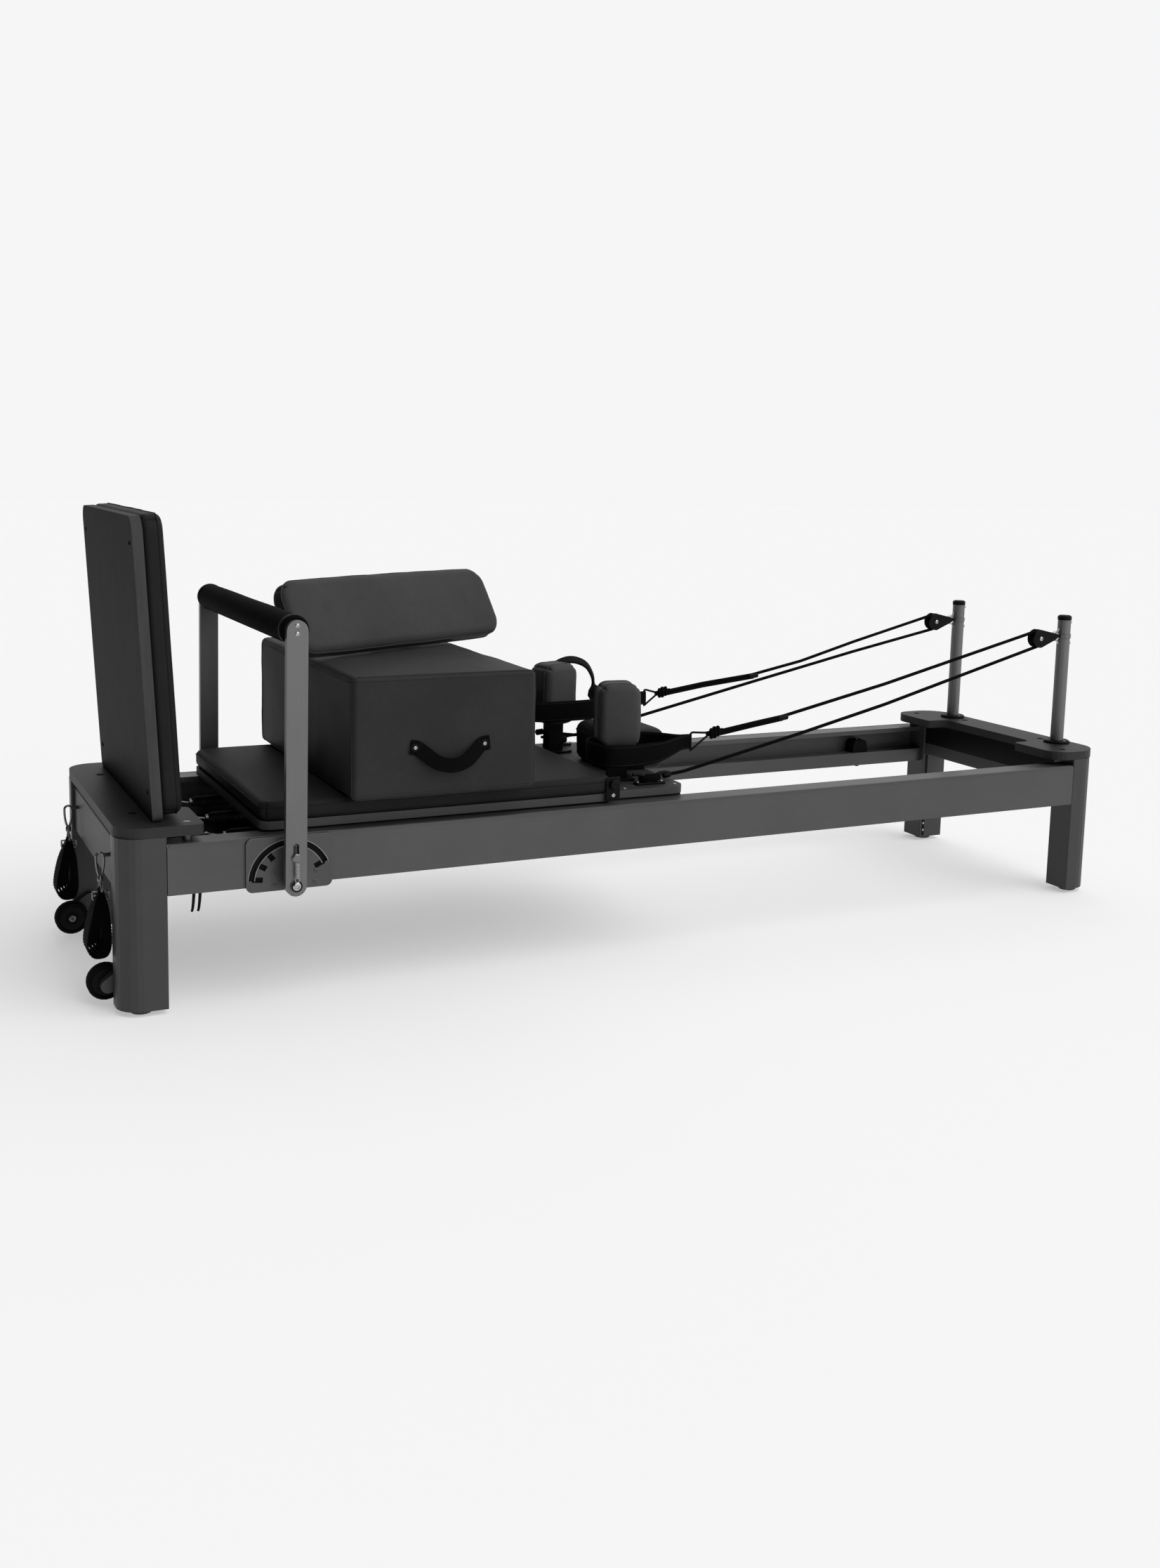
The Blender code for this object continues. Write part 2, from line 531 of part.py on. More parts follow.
# ---------------------------------------------------------------- ropes: knot, doubled part, pulley, low end
ROUTES = {"near": ([(1.281, 0.4575), (1.290, 0.4590), (1.310, 0.4620), (1.380, 0.4715), (1.4600, 0.4828)],
                   [(1.4700, 0.4850), (1.600, 0.5135), (1.7536, 0.5470)],
                   [(1.7568, 0.4965), (1.5132, 0.4391), (1.300, 0.3920), (1.195, 0.3690), (1.150, 0.3640)]),
          "far": ([(1.370, 0.4850), (1.380, 0.4870), (1.400, 0.4900), (1.4846, 0.5017), (1.640, 0.5185)],
                  [(1.652, 0.5215), (1.789, 0.5490), (1.960, 0.5960)],
                  [(1.960, 0.5690), (1.640, 0.4995), (1.3014, 0.4250), (1.120, 0.3860), (1.020, 0.4000)])}
DOUBLE_R = 0.0070
for side, sy in SIDES:
    doubled, upper, lower = ROUTES[side]
    rise = math.degrees(math.atan2(PULLEY_Z + WRAP - upper[-1][1], PULLEY_X - upper[-1][0]))
    fall = math.degrees(math.atan2(PULLEY_Z - WRAP - lower[0][1], PULLEY_X - lower[0][0]))
    around = arc(PULLEY_X, PULLEY_Z, WRAP, 90 + rise, -90 + fall, 14)
    route = doubled + upper + around + lower
    radii = [0.0060, 0.0110, DOUBLE_R, DOUBLE_R, DOUBLE_R]
    radii += [ROPE_R] * (len(route) - len(doubled))
    tube("rope_" + side, [(x, sy * PULLEY_Y, z) for x, z in route], radii, ROPE)

# ---------------------------------------------------------------- foot straps lying round the rests
LOOPS = {"near": [(1.268, -0.205, 0.447), (1.235, -0.205, 0.443), (1.200, -0.215, 0.436),
                  (1.130, -0.231, 0.424), (1.050, -0.238, 0.420), (0.996, -0.232, 0.420),
                  (0.976, -0.205, 0.421), (0.973, -0.165, 0.421), (0.986, -0.128, 0.421),
                  (1.020, -0.112, 0.421), (1.080, -0.112, 0.424), (1.150, -0.135, 0.432),
                  (1.195, -0.180, 0.438), (1.225, -0.197, 0.442)],
         "far": [(1.352, 0.205, 0.476), (1.320, 0.205, 0.474), (1.280, 0.213, 0.473),
                 (1.200, 0.230, 0.490), (1.150, 0.238, 0.515), (1.110, 0.242, 0.550),
                 (1.070, 0.242, 0.562), (1.025, 0.240, 0.543), (0.980, 0.228, 0.500),
                 (0.955, 0.195, 0.476), (0.952, 0.150, 0.468), (0.972, 0.120, 0.466),
                 (1.030, 0.112, 0.466), (1.120, 0.114, 0.467), (1.220, 0.150, 0.470),
                 (1.290, 0.194, 0.472)]}
for side, narrow in (("near", 1.235), ("far", 1.320)):
    path = smooth_path(LOOPS[side], 3)
    widths = [0.014 + 0.036 * max(0.0, min(1.0, (narrow - p[0]) / 0.10)) for p in path]
    carried.append(strap("strap_" + side, path, widths, 0.006, WEB))

# ---------------------------------------------------------------- sitting box, handles, loose pad
seat = [block("sitting_box", BOX_X, (-BOX_HALF, BOX_HALF), (PAD_TOP + GAP, BOX_TOP), VINYL, 0.014)]
for side, sy in SIDES:
    path = []
    for k in range(13):
        t = k / 12
        s = math.sin(math.pi * t)
        path.append((0.478 + 0.192 * t, sy * (BOX_HALF + 0.0034 + 0.016 * s * s), 0.497 - 0.052 * s))
    seat.append(strap("box_handle_" + side, path, [0.030] * 13, 0.0044, WEB))
box_hub = hub("box_hub", (0.556, 0, PAD_TOP), seat)

loose = block("extender_pad", (-0.320, 0.320), (0.0, 0.046), (0.0, 0.165), VINYL, 0.018)
extender_hub = hub("extender_hub", (0.608, 0.002, 0.666), [loose], (math.radians(-28.7), 0, math.radians(27)))

# ---------------------------------------------------------------- bodies that ride on the carriage
carriage_hub = hub("carriage_hub", (0.576, 0, AXLE_Z), carried)
for child in [headrest_hub, box_hub] + rest_hubs:
    mount_hub(child, carriage_hub)
mount_hub(extender_hub, box_hub)

# ---------------------------------------------------------------- spare straps hanging on the foot beam
bundle = [(0.004, 0.2890), (0.006, 0.2790), (0.006, 0.2360), (0.018, 0.2210), (0.029, 0.1910),
          (0.030, 0.1410), (0.026, 0.1110), (0.012, 0.0990)]
for side, sy in SIDES:
    hanging = turned("spare_strap_" + side, [(r, z - EYE[1]) for r, z in bundle],
                     (-0.106, sy * EYE[0], EYE[1]), "z", WEB, 12)
    hanging.scale = (0.55, 1.0, 1.0)
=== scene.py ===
"""Looks of the reformer: camera, light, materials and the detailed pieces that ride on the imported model."""
import bpy
import bmesh
import math
from mathutils import Vector, Matrix, noise


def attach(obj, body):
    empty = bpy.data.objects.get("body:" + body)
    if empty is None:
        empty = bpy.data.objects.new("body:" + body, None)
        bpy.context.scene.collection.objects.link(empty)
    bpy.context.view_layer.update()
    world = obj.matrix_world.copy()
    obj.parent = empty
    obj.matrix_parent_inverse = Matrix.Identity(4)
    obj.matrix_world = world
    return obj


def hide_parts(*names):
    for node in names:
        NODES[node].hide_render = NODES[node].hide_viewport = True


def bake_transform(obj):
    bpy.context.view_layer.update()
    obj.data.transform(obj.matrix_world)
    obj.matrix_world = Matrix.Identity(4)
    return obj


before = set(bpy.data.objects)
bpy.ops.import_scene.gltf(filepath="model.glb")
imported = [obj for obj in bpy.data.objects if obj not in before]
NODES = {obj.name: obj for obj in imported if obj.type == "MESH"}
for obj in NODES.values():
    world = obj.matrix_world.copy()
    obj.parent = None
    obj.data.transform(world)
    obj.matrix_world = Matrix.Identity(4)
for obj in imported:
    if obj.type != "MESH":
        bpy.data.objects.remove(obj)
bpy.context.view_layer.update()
scene = bpy.context.scene

SHIFT = -1.110
SIDES = (("near", -1), ("far", 1))
CAM_AT = (-1.6693, -3.2070, 1.0749)
CAM_AZ, CAM_EL, CAM_ROLL = math.radians(-25.953), math.radians(7.972), math.radians(1.288)
LENS, LENS_SHIFT = 35.27, (0.0060, -0.0705)
BACKDROP = 0.920
ROPE_Y = 0.207
RISER_X = 2.3175
PIVOT_X, PIVOT_Z = 0.236, 0.242
GRIP_X, GRIP_Z = 0.240, 0.739


def at(x, y, z):
    """Point with X counted from the foot legs' inner face."""
    return Vector((x + SHIFT, y, z))


# ---------------------------------------------------------------- materials
def link(nt, a, b):
    nt.links.new(a, b)


def node(nt, kind, **values):
    n = nt.nodes.new("ShaderNode" + kind)
    for key, value in values.items():
        if key in n.inputs:
            n.inputs[key].default_value = value
        else:
            setattr(n, key, value)
    return n


def maths(nt, op, a, b):
    n = node(nt, "Math", operation=op)
    for socket, value in zip(n.inputs, (a, b)):
        if isinstance(value, (int, float)):
            socket.default_value = value
        else:
            link(nt, value, socket)
    return n.outputs[0]


def finish_look(name, grey, rough, metal, spec, vary, mix, height, bump, depth, soft):
    """Shared end of every material: tone and roughness follow the pattern, height gives the relief."""
    nt, m = mix[0], mix[1]
    shader = nt.nodes["Principled BSDF"]
    ramp = node(nt, "ValToRGB")
    ramp.color_ramp.elements[0].position = 0.25
    ramp.color_ramp.elements[1].position = 0.75
    low, high = grey * (1 - vary), grey * (1 + vary)
    ramp.color_ramp.elements[0].color = (low, low, low * 1.02, 1)
    ramp.color_ramp.elements[1].color = (high, high, high * 1.02, 1)
    link(nt, mix[2], ramp.inputs["Fac"])
    link(nt, ramp.outputs["Color"], shader.inputs["Base Color"])
    spread = node(nt, "MapRange", **{"To Min": rough - soft, "To Max": rough + soft})
    link(nt, mix[2], spread.inputs["Value"])
    link(nt, spread.outputs["Result"], shader.inputs["Roughness"])
    shader.inputs["Metallic"].default_value = metal
    shader.inputs["Specular IOR Level"].default_value = spec
    relief = node(nt, "Bump", Strength=bump, Distance=depth)
    link(nt, height, relief.inputs["Height"])
    link(nt, relief.outputs["Normal"], shader.inputs["Normal"])
    return m


def start_look(name):
    m = bpy.data.materials.new(name)
    m.use_nodes = True
    return m, m.node_tree, node(m.node_tree, "TexCoord")


def solid(name, grey, rough, metal, spec=0.5, vary=0.12, grain=(700, 700, 700), bump=0.15,
          depth=0.0004, edge=None, ply=False, soft=0.06):
    """Metal, plastic, rubber or board: fine grain, cloudy wear; edge brightens faces off one axis."""
    m, nt, co = start_look(name)
    scaled = node(nt, "Mapping", Scale=grain)
    link(nt, co.outputs["Object"], scaled.inputs["Vector"])
    fine = node(nt, "TexNoise", Scale=1.0, Detail=4.0)
    link(nt, scaled.outputs["Vector"], fine.inputs["Vector"])
    cloud = node(nt, "TexNoise", Scale=7.0, Detail=7.0, Roughness=0.65)
    link(nt, co.outputs["Object"], cloud.inputs["Vector"])
    total = maths(nt, "ADD", maths(nt, "MULTIPLY", fine.outputs["Fac"], 0.45),
                  maths(nt, "MULTIPLY", cloud.outputs["Fac"], 0.55))
    height = fine.outputs["Fac"]
    if edge is not None:
        split = node(nt, "SeparateXYZ")
        link(nt, co.outputs["Normal"], split.inputs["Vector"])
        side = maths(nt, "SUBTRACT", 1.0, maths(nt, "ABSOLUTE", split.outputs[edge], 0.0))
        if ply:
            layers = node(nt, "TexWave", bands_direction="Z", Scale=90.0, Distortion=1.0)
            link(nt, co.outputs["Object"], layers.inputs["Vector"])
            banded = maths(nt, "ADD", maths(nt, "MULTIPLY", layers.outputs["Fac"], 0.4), 0.6)
            side = maths(nt, "MULTIPLY", side, banded)
        total = maths(nt, "ADD", maths(nt, "MULTIPLY", total, 0.55), maths(nt, "MULTIPLY", side, 0.45))
    return finish_look(name, grey, rough, metal, spec, vary, (nt, m, total), height, bump, depth, soft)


def hide(name, grey, rough, spec):
    """Imitation leather: pebbled cells with creases and slightly polished patches."""
    m, nt, co = start_look(name)
    cells = node(nt, "TexVoronoi", Scale=420.0, feature="DISTANCE_TO_EDGE")
    link(nt, co.outputs["Object"], cells.inputs["Vector"])
    crease = node(nt, "TexNoise", Scale=60.0, Detail=8.0, Roughness=0.6)
    link(nt, co.outputs["Object"], crease.inputs["Vector"])
    cloud = node(nt, "TexNoise", Scale=6.0, Detail=5.0)
    link(nt, co.outputs["Object"], cloud.inputs["Vector"])
    total = maths(nt, "ADD", maths(nt, "MULTIPLY", cloud.outputs["Fac"], 0.7),
                  maths(nt, "MULTIPLY", crease.outputs["Fac"], 0.3))
    height = maths(nt, "ADD", maths(nt, "MULTIPLY", cells.outputs["Distance"], 1.2),
                   maths(nt, "MULTIPLY", crease.outputs["Fac"], 0.6))
    return finish_look(name, grey, rough, 0.0, spec, 0.22, (nt, m, total), height, 0.35, 0.0008, 0.07)


def woven(name, grey, rough, along, across, turn):
    """Webbing or braid, in metres along and across the strip; turn slants the yarns."""
    m, nt, co = start_look(name)
    rows = []
    for angle, scale in ((turn, along), (turn + math.pi / 2, across)):
        spin = node(nt, "Mapping", Rotation=(0, 0, angle))
        link(nt, co.outputs["UV"], spin.inputs["Vector"])
        band = node(nt, "TexWave", Scale=scale, Distortion=0.6, Detail=1.0)
        link(nt, spin.outputs["Vector"], band.inputs["Vector"])
        rows.append(band.outputs["Fac"])
    weave = maths(nt, "MULTIPLY", rows[0], rows[1])
    fuzz = node(nt, "TexNoise", Scale=900.0, Detail=3.0)
    link(nt, co.outputs["Object"], fuzz.inputs["Vector"])
    total = maths(nt, "ADD", maths(nt, "MULTIPLY", weave, 0.6),
                  maths(nt, "MULTIPLY", fuzz.outputs["Fac"], 0.4))
    return finish_look(name, grey, rough, 0.0, 0.04, 0.5, (nt, m, total), total, 0.7, 0.0007, 0.05)


ANOD = solid("rail_anodised", 0.080, 0.42, 0.55, 0.3, 0.14, (10, 900, 900), 0.18)
LEG = solid("leg_anodised", 0.048, 0.45, 0.4, 0.3, 0.16, (900, 900, 10), 0.18)
RISER = solid("riser_anodised", 0.145, 0.42, 0.55, 0.3, 0.12, (900, 900, 10), 0.18)
BEAM = solid("beam_anodised", 0.050, 0.5, 0.3, 0.2, 0.16, (900, 10, 900), 0.18)
STEEL = solid("brushed_steel_arm", 0.138, 0.36, 0.75, 0.4, 0.12, (900, 900, 12), 0.2)
DARK_STEEL = solid("plate_steel", 0.072, 0.40, 0.6, 0.4, 0.14, (14, 900, 900), 0.2)
BRIGHT = solid("plated_steel", 0.38, 0.28, 1.0, 0.5, 0.15, (500, 500, 500), 0.08)
HOOK = solid("hook_steel", 0.16, 0.3, 0.9, 0.5, 0.3, (500, 500, 500), 0.1)
DARK_WIRE = solid("dark_wire", 0.03, 0.4, 0.9, 0.3, 0.2, (500, 500, 500), 0.1)
# grey wire of the foot bar's tension spring, also the colour of the painted highlight arcs on the quadrants
SPRING_WIRE_AND_PAINTED_HIGHLIGHT = solid("spring_wire", 0.26, 0.4, 0.2, 0.5, 0.2, (500, 500, 500), 0.1)
BOARD = solid("painted_board", 0.030, 0.6, 0.0, 0.03, 0.80, (160, 160, 9), 0.25, 0.0005, 0, False)
DECK = solid("painted_deck", 0.052, 0.55, 0.0, 0.10, 0.35, (260, 260, 260), 0.2, 0.0005, 2, True)
PLATE = solid("laminate_plate", 0.024, 0.5, 0.0, 0.12, 0.3, (420, 420, 420), 0.25, 0.0004, 2, True)
RUBBER = solid("rubber", 0.004, 0.8, 0.0, 0.06, 0.3, (380, 380, 380), 0.3, 0.0006)
PLASTIC = solid("moulded_plastic", 0.0035, 0.5, 0.0, 0.08, 0.25, (520, 520, 520), 0.18, 0.0004)
VINYL = hide("vinyl", 0.014, 0.55, 0.06)
VINYL_SOFT = hide("vinyl_box", 0.025, 0.55, 0.07)
# lighter copies of the same black vinyl: painted light on the loose extender pad and the shoulder rests
VINYL_PAD_PAINTED_LIGHT = hide("vinyl_pad_painted_light", 0.040, 0.55, 0.07)
VINYL_REST_PAINTED_LIGHT = hide("vinyl_rest_painted_light", 0.047, 0.55, 0.07)
GRIP = hide("grip_foam", 0.0025, 0.8, 0.03)
THREAD = solid("thread", 0.030, 0.7, 0.0, 0.1, 0.3, (2500, 2500, 2500), 0.3)
WEB = woven("webbing", 0.0035, 0.8, 240.0, 160.0, 0.0)
BRAID = woven("rope_braid", 0.003, 0.8, 110.0, 110.0, math.radians(40))


def repaint(look, *names):
    for name in names:
        for k in range(max(1, len(NODES[name].data.materials))):
            if NODES[name].data.materials:
                NODES[name].data.materials[k] = look
            else:
                NODES[name].data.materials.append(look)


for side, sy in SIDES:
    repaint(ANOD, "rail_" + side)
    repaint(LEG, "leg_foot_" + side, "leg_head_" + side)
    repaint(STEEL, "footbar_arm_" + side)
    repaint(DARK_STEEL, "quadrant_" + side)
    repaint(RISER, "riser_" + side)
    repaint(HOOK, "lock_pin_" + side)
    repaint(STEEL, "platform_bolt_" + side)
    repaint(RUBBER, "carriage_stop_" + side, "transport_wheel_" + side)
    repaint(PLASTIC, "pulley_housing_" + side, "pulley_sheave_" + side, "riser_collar_" + side,
            "riser_cap_" + side, "rest_post_" + side, "roller_foot_" + side, "roller_head_" + side)
repaint(BEAM, "crossbeam_foot", "crossbeam_head")
repaint(PLASTIC, "spring_bar")
repaint(PLATE, "platform_foot", "platform_head")
repaint(DECK, "carriage_board")
repaint(BOARD, "jumpboard")


# ---------------------------------------------------------------- geometry helpers
def circle(r, n=8):
    return [(r * math.cos(2 * math.pi * k / n), r * math.sin(2 * math.pi * k / n)) for k in range(n)]


def ribbon(w, t, n=5):
    """Cross-section of a strap w wide and t thick, with soft edges and a slight swell."""
    top = []
    for k in range(n + 1):
        s = -1 + 2 * k / n
        top.append((s * (w / 2 - t / 3), t / 2 * (0.75 + 0.25 * (1 - s * s))))
    return top + [(w / 2, 0.0)] + [(a, -b) for a, b in reversed(top)] + [(-w / 2, 0.0)]


def on_edge(outline):
    return [(b, a) for a, b in outline]


def ring(a, b, r, n=6):
    """Closed rectangle path in two dimensions with rounded corners, half sizes a and b."""
    pts = []
    for cx, cy, start in ((a - r, b - r, 0), (r - a, b - r, 90), (r - a, r - b, 180), (a - r, r - b, 270)):
        for k in range(n + 1):
            t = math.radians(start + 90 * k / n)
            pts.append((cx + r * math.cos(t), cy + r * math.sin(t)))
    return pts


def resample(path, step, closed=False):
    pts = [Vector(p) for p in path]
    if closed:
        pts = pts + [pts[0]]
    total = sum((b - a).length for a, b in zip(pts, pts[1:]))
    count = max(2, round(total / step))
    out, i, gone = [], 0, 0.0
    for k in range(count + (0 if closed else 1)):
        want = total * k / count
        while i < len(pts) - 2 and gone + (pts[i + 1] - pts[i]).length < want:
            gone += (pts[i + 1] - pts[i]).length
            i += 1
        seg = (pts[i + 1] - pts[i]).length or 1.0
        out.append(pts[i].lerp(pts[i + 1], min(1.0, (want - gone) / seg)))
    return out


def smooth_path(points, n, closed=False):
    """Catmull-Rom curve through the points, n steps to a span."""
    pts = [Vector(p) for p in points]
    last = len(pts) if closed else len(pts) - 1
    out = []
    for i in range(last):
        if closed:
            a, b, c, d = (pts[(i + j) % len(pts)] for j in (-1, 0, 1, 2))
        else:
            a, b, c, d = (pts[min(max(i + j, 0), len(pts) - 1)] for j in (-1, 0, 1, 2))
        for k in range(n):
            t = k / n
            out.append(0.5 * ((2 * b) + (c - a) * t + (2 * a - 5 * b + 4 * c - d) * t * t
                              + (3 * b - a - 3 * c + d) * t ** 3))
    if not closed:
        out.append(pts[-1])
    return out


class Shape:
    """Geometry of one piece, gathered in metres and turned into a single mesh."""

    def __init__(self, name, *looks):
        self.name, self.looks = name, looks
        self.verts, self.faces, self.uvs, self.slots = [], [], [], []

    def add(self, verts, faces, uvs=None, look=0, place=None):
        base = len(self.verts)
        for v in verts:
            self.verts.append(tuple(place @ Vector(v)) if place else tuple(v))
        for i, face in enumerate(faces):
            self.faces.append([base + k for k in face])
            self.uvs.append(uvs[i] if uvs else [(0.0, 0.0)] * len(face))
            self.slots.append(look)

    def lathe(self, profile, centre, axis, steps=20, look=0, place=None):
        """Profile of (radius, distance) turned round an axis through centre."""
        axis = Vector(axis).normalized()
        side = axis.orthogonal().normalized()
        other = axis.cross(side)
        verts, faces, uvs = [], [], []
        for r, t in profile:
            for k in range(steps):
                a = 2 * math.pi * k / steps
                spoke = side * math.cos(a) + other * math.sin(a)
                verts.append(Vector(centre) + axis * t + spoke * max(r, 1e-5))
        run = 0.0
        for i in range(len(profile) - 1):
            (r0, t0), (r1, t1) = profile[i], profile[i + 1]
            step = math.hypot(r1 - r0, t1 - t0)
            for k in range(steps):
                n = (k + 1) % steps
                u0, u1 = (k / steps * 6.28 * max(r0, r1), (k + 1) / steps * 6.28 * max(r0, r1))
                faces.append((i * steps + k, i * steps + n, (i + 1) * steps + n, (i + 1) * steps + k))
                uvs.append([(run, u0), (run, u1), (run + step, u1), (run + step, u0)])
            run += step
        for ring_at in (0, len(profile) - 1):
            faces.append([ring_at * steps + k for k in range(steps)])
            uvs.append([(0.0, 0.0)] * steps)
        self.add(verts, faces, uvs, look, place)

    def sweep(self, path, outline, up=None, closed=False, size=None, look=0, place=None):
        """Outline carried along a path; outlines may differ from point to point."""
        path = [Vector(p) for p in path]
        count = len(path)
        outlines = outline if isinstance(outline[0][0], (tuple, list)) else [outline] * count
        m = len(outlines[0])
        verts, faces, uvs = [], [], []
        carried = None
        run = [0.0]
        for i, p in enumerate(path):
            before = path[i - 1] if (i or closed) else p
            after = path[(i + 1) % count] if (i < count - 1 or closed) else p
            tangent = (after - before).normalized()
            if up is not None:
                upward = up[i] if isinstance(up[0], (tuple, list, Vector)) else up
                side = tangent.cross(Vector(upward)).normalized()
            else:
                if carried is None:
                    carried = tangent.orthogonal()
                side = (carried - tangent * carried.dot(tangent)).normalized()
                carried = side
            over = side.cross(tangent)
            k = size[i] if size else 1.0
            for a, b in outlines[i]:
                verts.append(p + side * a * k + over * b * k)
            if i:
                run.append(run[-1] + (p - path[i - 1]).length)
        round_at = [0.0]
        for j in range(m):
            (a0, b0), (a1, b1) = outlines[0][j], outlines[0][(j + 1) % m]
            round_at.append(round_at[-1] + math.hypot(a1 - a0, b1 - b0))
        spans = count if closed else count - 1
        for i in range(spans):
            n = (i + 1) % count
            u0 = run[i]
            u1 = run[n] if n else run[i] + (path[0] - path[i]).length
            for j in range(m):
                k = (j + 1) % m
                faces.append((i * m + j, i * m + k, n * m + k, n * m + j))
                uvs.append([(u0, round_at[j]), (u0, round_at[j + 1]), (u1, round_at[j + 1]),
                            (u1, round_at[j])])
        if not closed:
            for i in (0, count - 1):
                faces.append([i * m + j for j in range(m)])
                uvs.append([(0.0, 0.0)] * m)
        self.add(verts, faces, uvs, look, place)

    def block(self, lo, hi, r, look=0, place=None, swell=None, steps=3, corner=3):
        """Box with rounded edges; swell moves each point of it."""
        half = [(b - a) / 2 for a, b in zip(lo, hi)]
        mid = Vector([(a + b) / 2 for a, b in zip(lo, hi)])
        r = min([r] + [h * 0.98 for h in half])
        lines = []
        for h in half:
            flat = h - r
            out = [flat + r * math.tan(math.radians(45 * k / corner)) for k in range(1, corner + 1)]
            n = max(2, min(steps, round(2 * h / 0.022))) if swell else max(1, steps // 3)
            inner = [-flat + 2 * flat * k / n for k in range(n + 1)]
            if swell:
                near = [c for c in (0.004, 0.009, 0.015, 0.022, 0.030) if c < flat * 0.6]
                inner += [sign * (flat - c) for c in near for sign in (-1, 1)]
                inner = sorted(inner)
                inner = [v for k, v in enumerate(inner) if not k or v - inner[k - 1] > 0.0012]
            lines.append([-v for v in reversed(out)] + inner + out)
        seen, verts, faces = {}, [], []

        def index(p):
            q = Vector([max(-(h - r), min(h - r, c)) for c, h in zip(p, half)])
            d = p - q
            v = q + d.normalized() * r if d.length > 1e-9 else p
            key = tuple(round(c, 6) for c in v)
            if key not in seen:
                seen[key] = len(verts)
                verts.append((swell(v) if swell else v) + mid)
            return seen[key]

        for axis in range(3):
            a, b = (axis + 1) % 3, (axis + 2) % 3
            for sign in (-1, 1):
                grid = []
                for u in lines[a]:
                    row = []
                    for w in lines[b]:
                        p = [0.0, 0.0, 0.0]
                        p[axis], p[a], p[b] = sign * half[axis], u, w
                        row.append(index(Vector(p)))
                    grid.append(row)
                for i in range(len(grid) - 1):
                    for j in range(len(grid[0]) - 1):
                        f = [grid[i][j], grid[i + 1][j], grid[i + 1][j + 1], grid[i][j + 1]]
                        f = [v for k, v in enumerate(f) if v != f[k - 1]]
                        if len(f) > 2:
                            faces.append(f if sign > 0 else f[::-1])
        self.add(verts, faces, None, look, place)

    def stitches(self, path, closed, look, place=None, gap=0.0065, r=0.00055):
        """Row of short raised threads."""
        spots = resample(path, gap, closed)
        for i in range(len(spots)):
            j = (i + 1) % len(spots)
            if not closed and j == 0:
                break
            way = spots[j] - spots[i]
            span = min(way.length, gap) * 0.62
            self.lathe([(0.2 * r, -span / 2), (r, -span / 4), (r, span / 4), (0.2 * r, span / 2)],
                       spots[i], way, 5, look, place)

    def screw(self, centre, axis, r=0.0045, h=0.002, look=0, place=None):
        """Dome head with a round socket, standing out along axis."""
        self.lathe([(r * 0.1, h * 0.45), (r * 0.45, h * 0.45), (r * 0.50, h), (r * 0.80, h * 0.95),
                    (r, h * 0.45), (r, -0.0006)], centre, axis, 18, look, place)

    def done(self, body):
        """Link the piece to the scene and let it ride on a body."""
        mesh = bpy.data.meshes.new(self.name)
        mesh.from_pydata(self.verts, [], self.faces)
        layer = mesh.uv_layers.new(name="strip")
        k = 0
        for face, uvs in zip(mesh.polygons, self.uvs):
            for i in range(face.loop_total):
                layer.data[k].uv = uvs[i]
                k += 1
        for look in self.looks:
            mesh.materials.append(look)
        mesh.polygons.foreach_set("material_index", self.slots)
        mesh.polygons.foreach_set("use_smooth", [True] * len(self.faces))
        bm = bmesh.new()
        bm.from_mesh(mesh)
        bmesh.ops.remove_doubles(bm, verts=bm.verts, dist=1e-6)
        bmesh.ops.recalc_face_normals(bm, faces=bm.faces)
        bm.to_mesh(mesh)
        bm.free()
        mesh.set_sharp_from_angle(angle=math.radians(42))
        obj = bpy.data.objects.new(self.name, mesh)
        scene.collection.objects.link(obj)
        if body:
            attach(obj, body)
        return obj


def swell_of(half, crown, dents, seed, plan):
    """Crowned, gently uneven faces of a stuffed piece; plan rounds the corners seen along an axis."""
    def move(p):
        p = Vector(p)
        if plan:
            a, b = (plan[0] + 1) % 3, (plan[0] + 2) % 3
            da, db = abs(p[a]) - half[a] + plan[1], abs(p[b]) - half[b] + plan[1]
            if da > 0 and db > 0:
                k = max(da, db) / math.hypot(da, db)
                p[a] = math.copysign(half[a] - plan[1] + da * k, p[a])
                p[b] = math.copysign(half[b] - plan[1] + db * k, p[b])
        u = [max(-1.0, min(1.0, c / h)) for c, h in zip(p, half)]
        out = Vector(p)
        for i in range(3):
            a, b = (i + 1) % 3, (i + 2) % 3
            out[i] += crown[i] * u[i] * (1 - u[a] ** 4) * (1 - u[b] ** 4)
        push = noise.noise(Vector(p) * 14 + Vector((seed, 0, 0))) * dents
        push += noise.noise(Vector(p) * 45 + Vector((0, seed, 0))) * dents * 0.25
        return out + out.normalized() * push
    return move


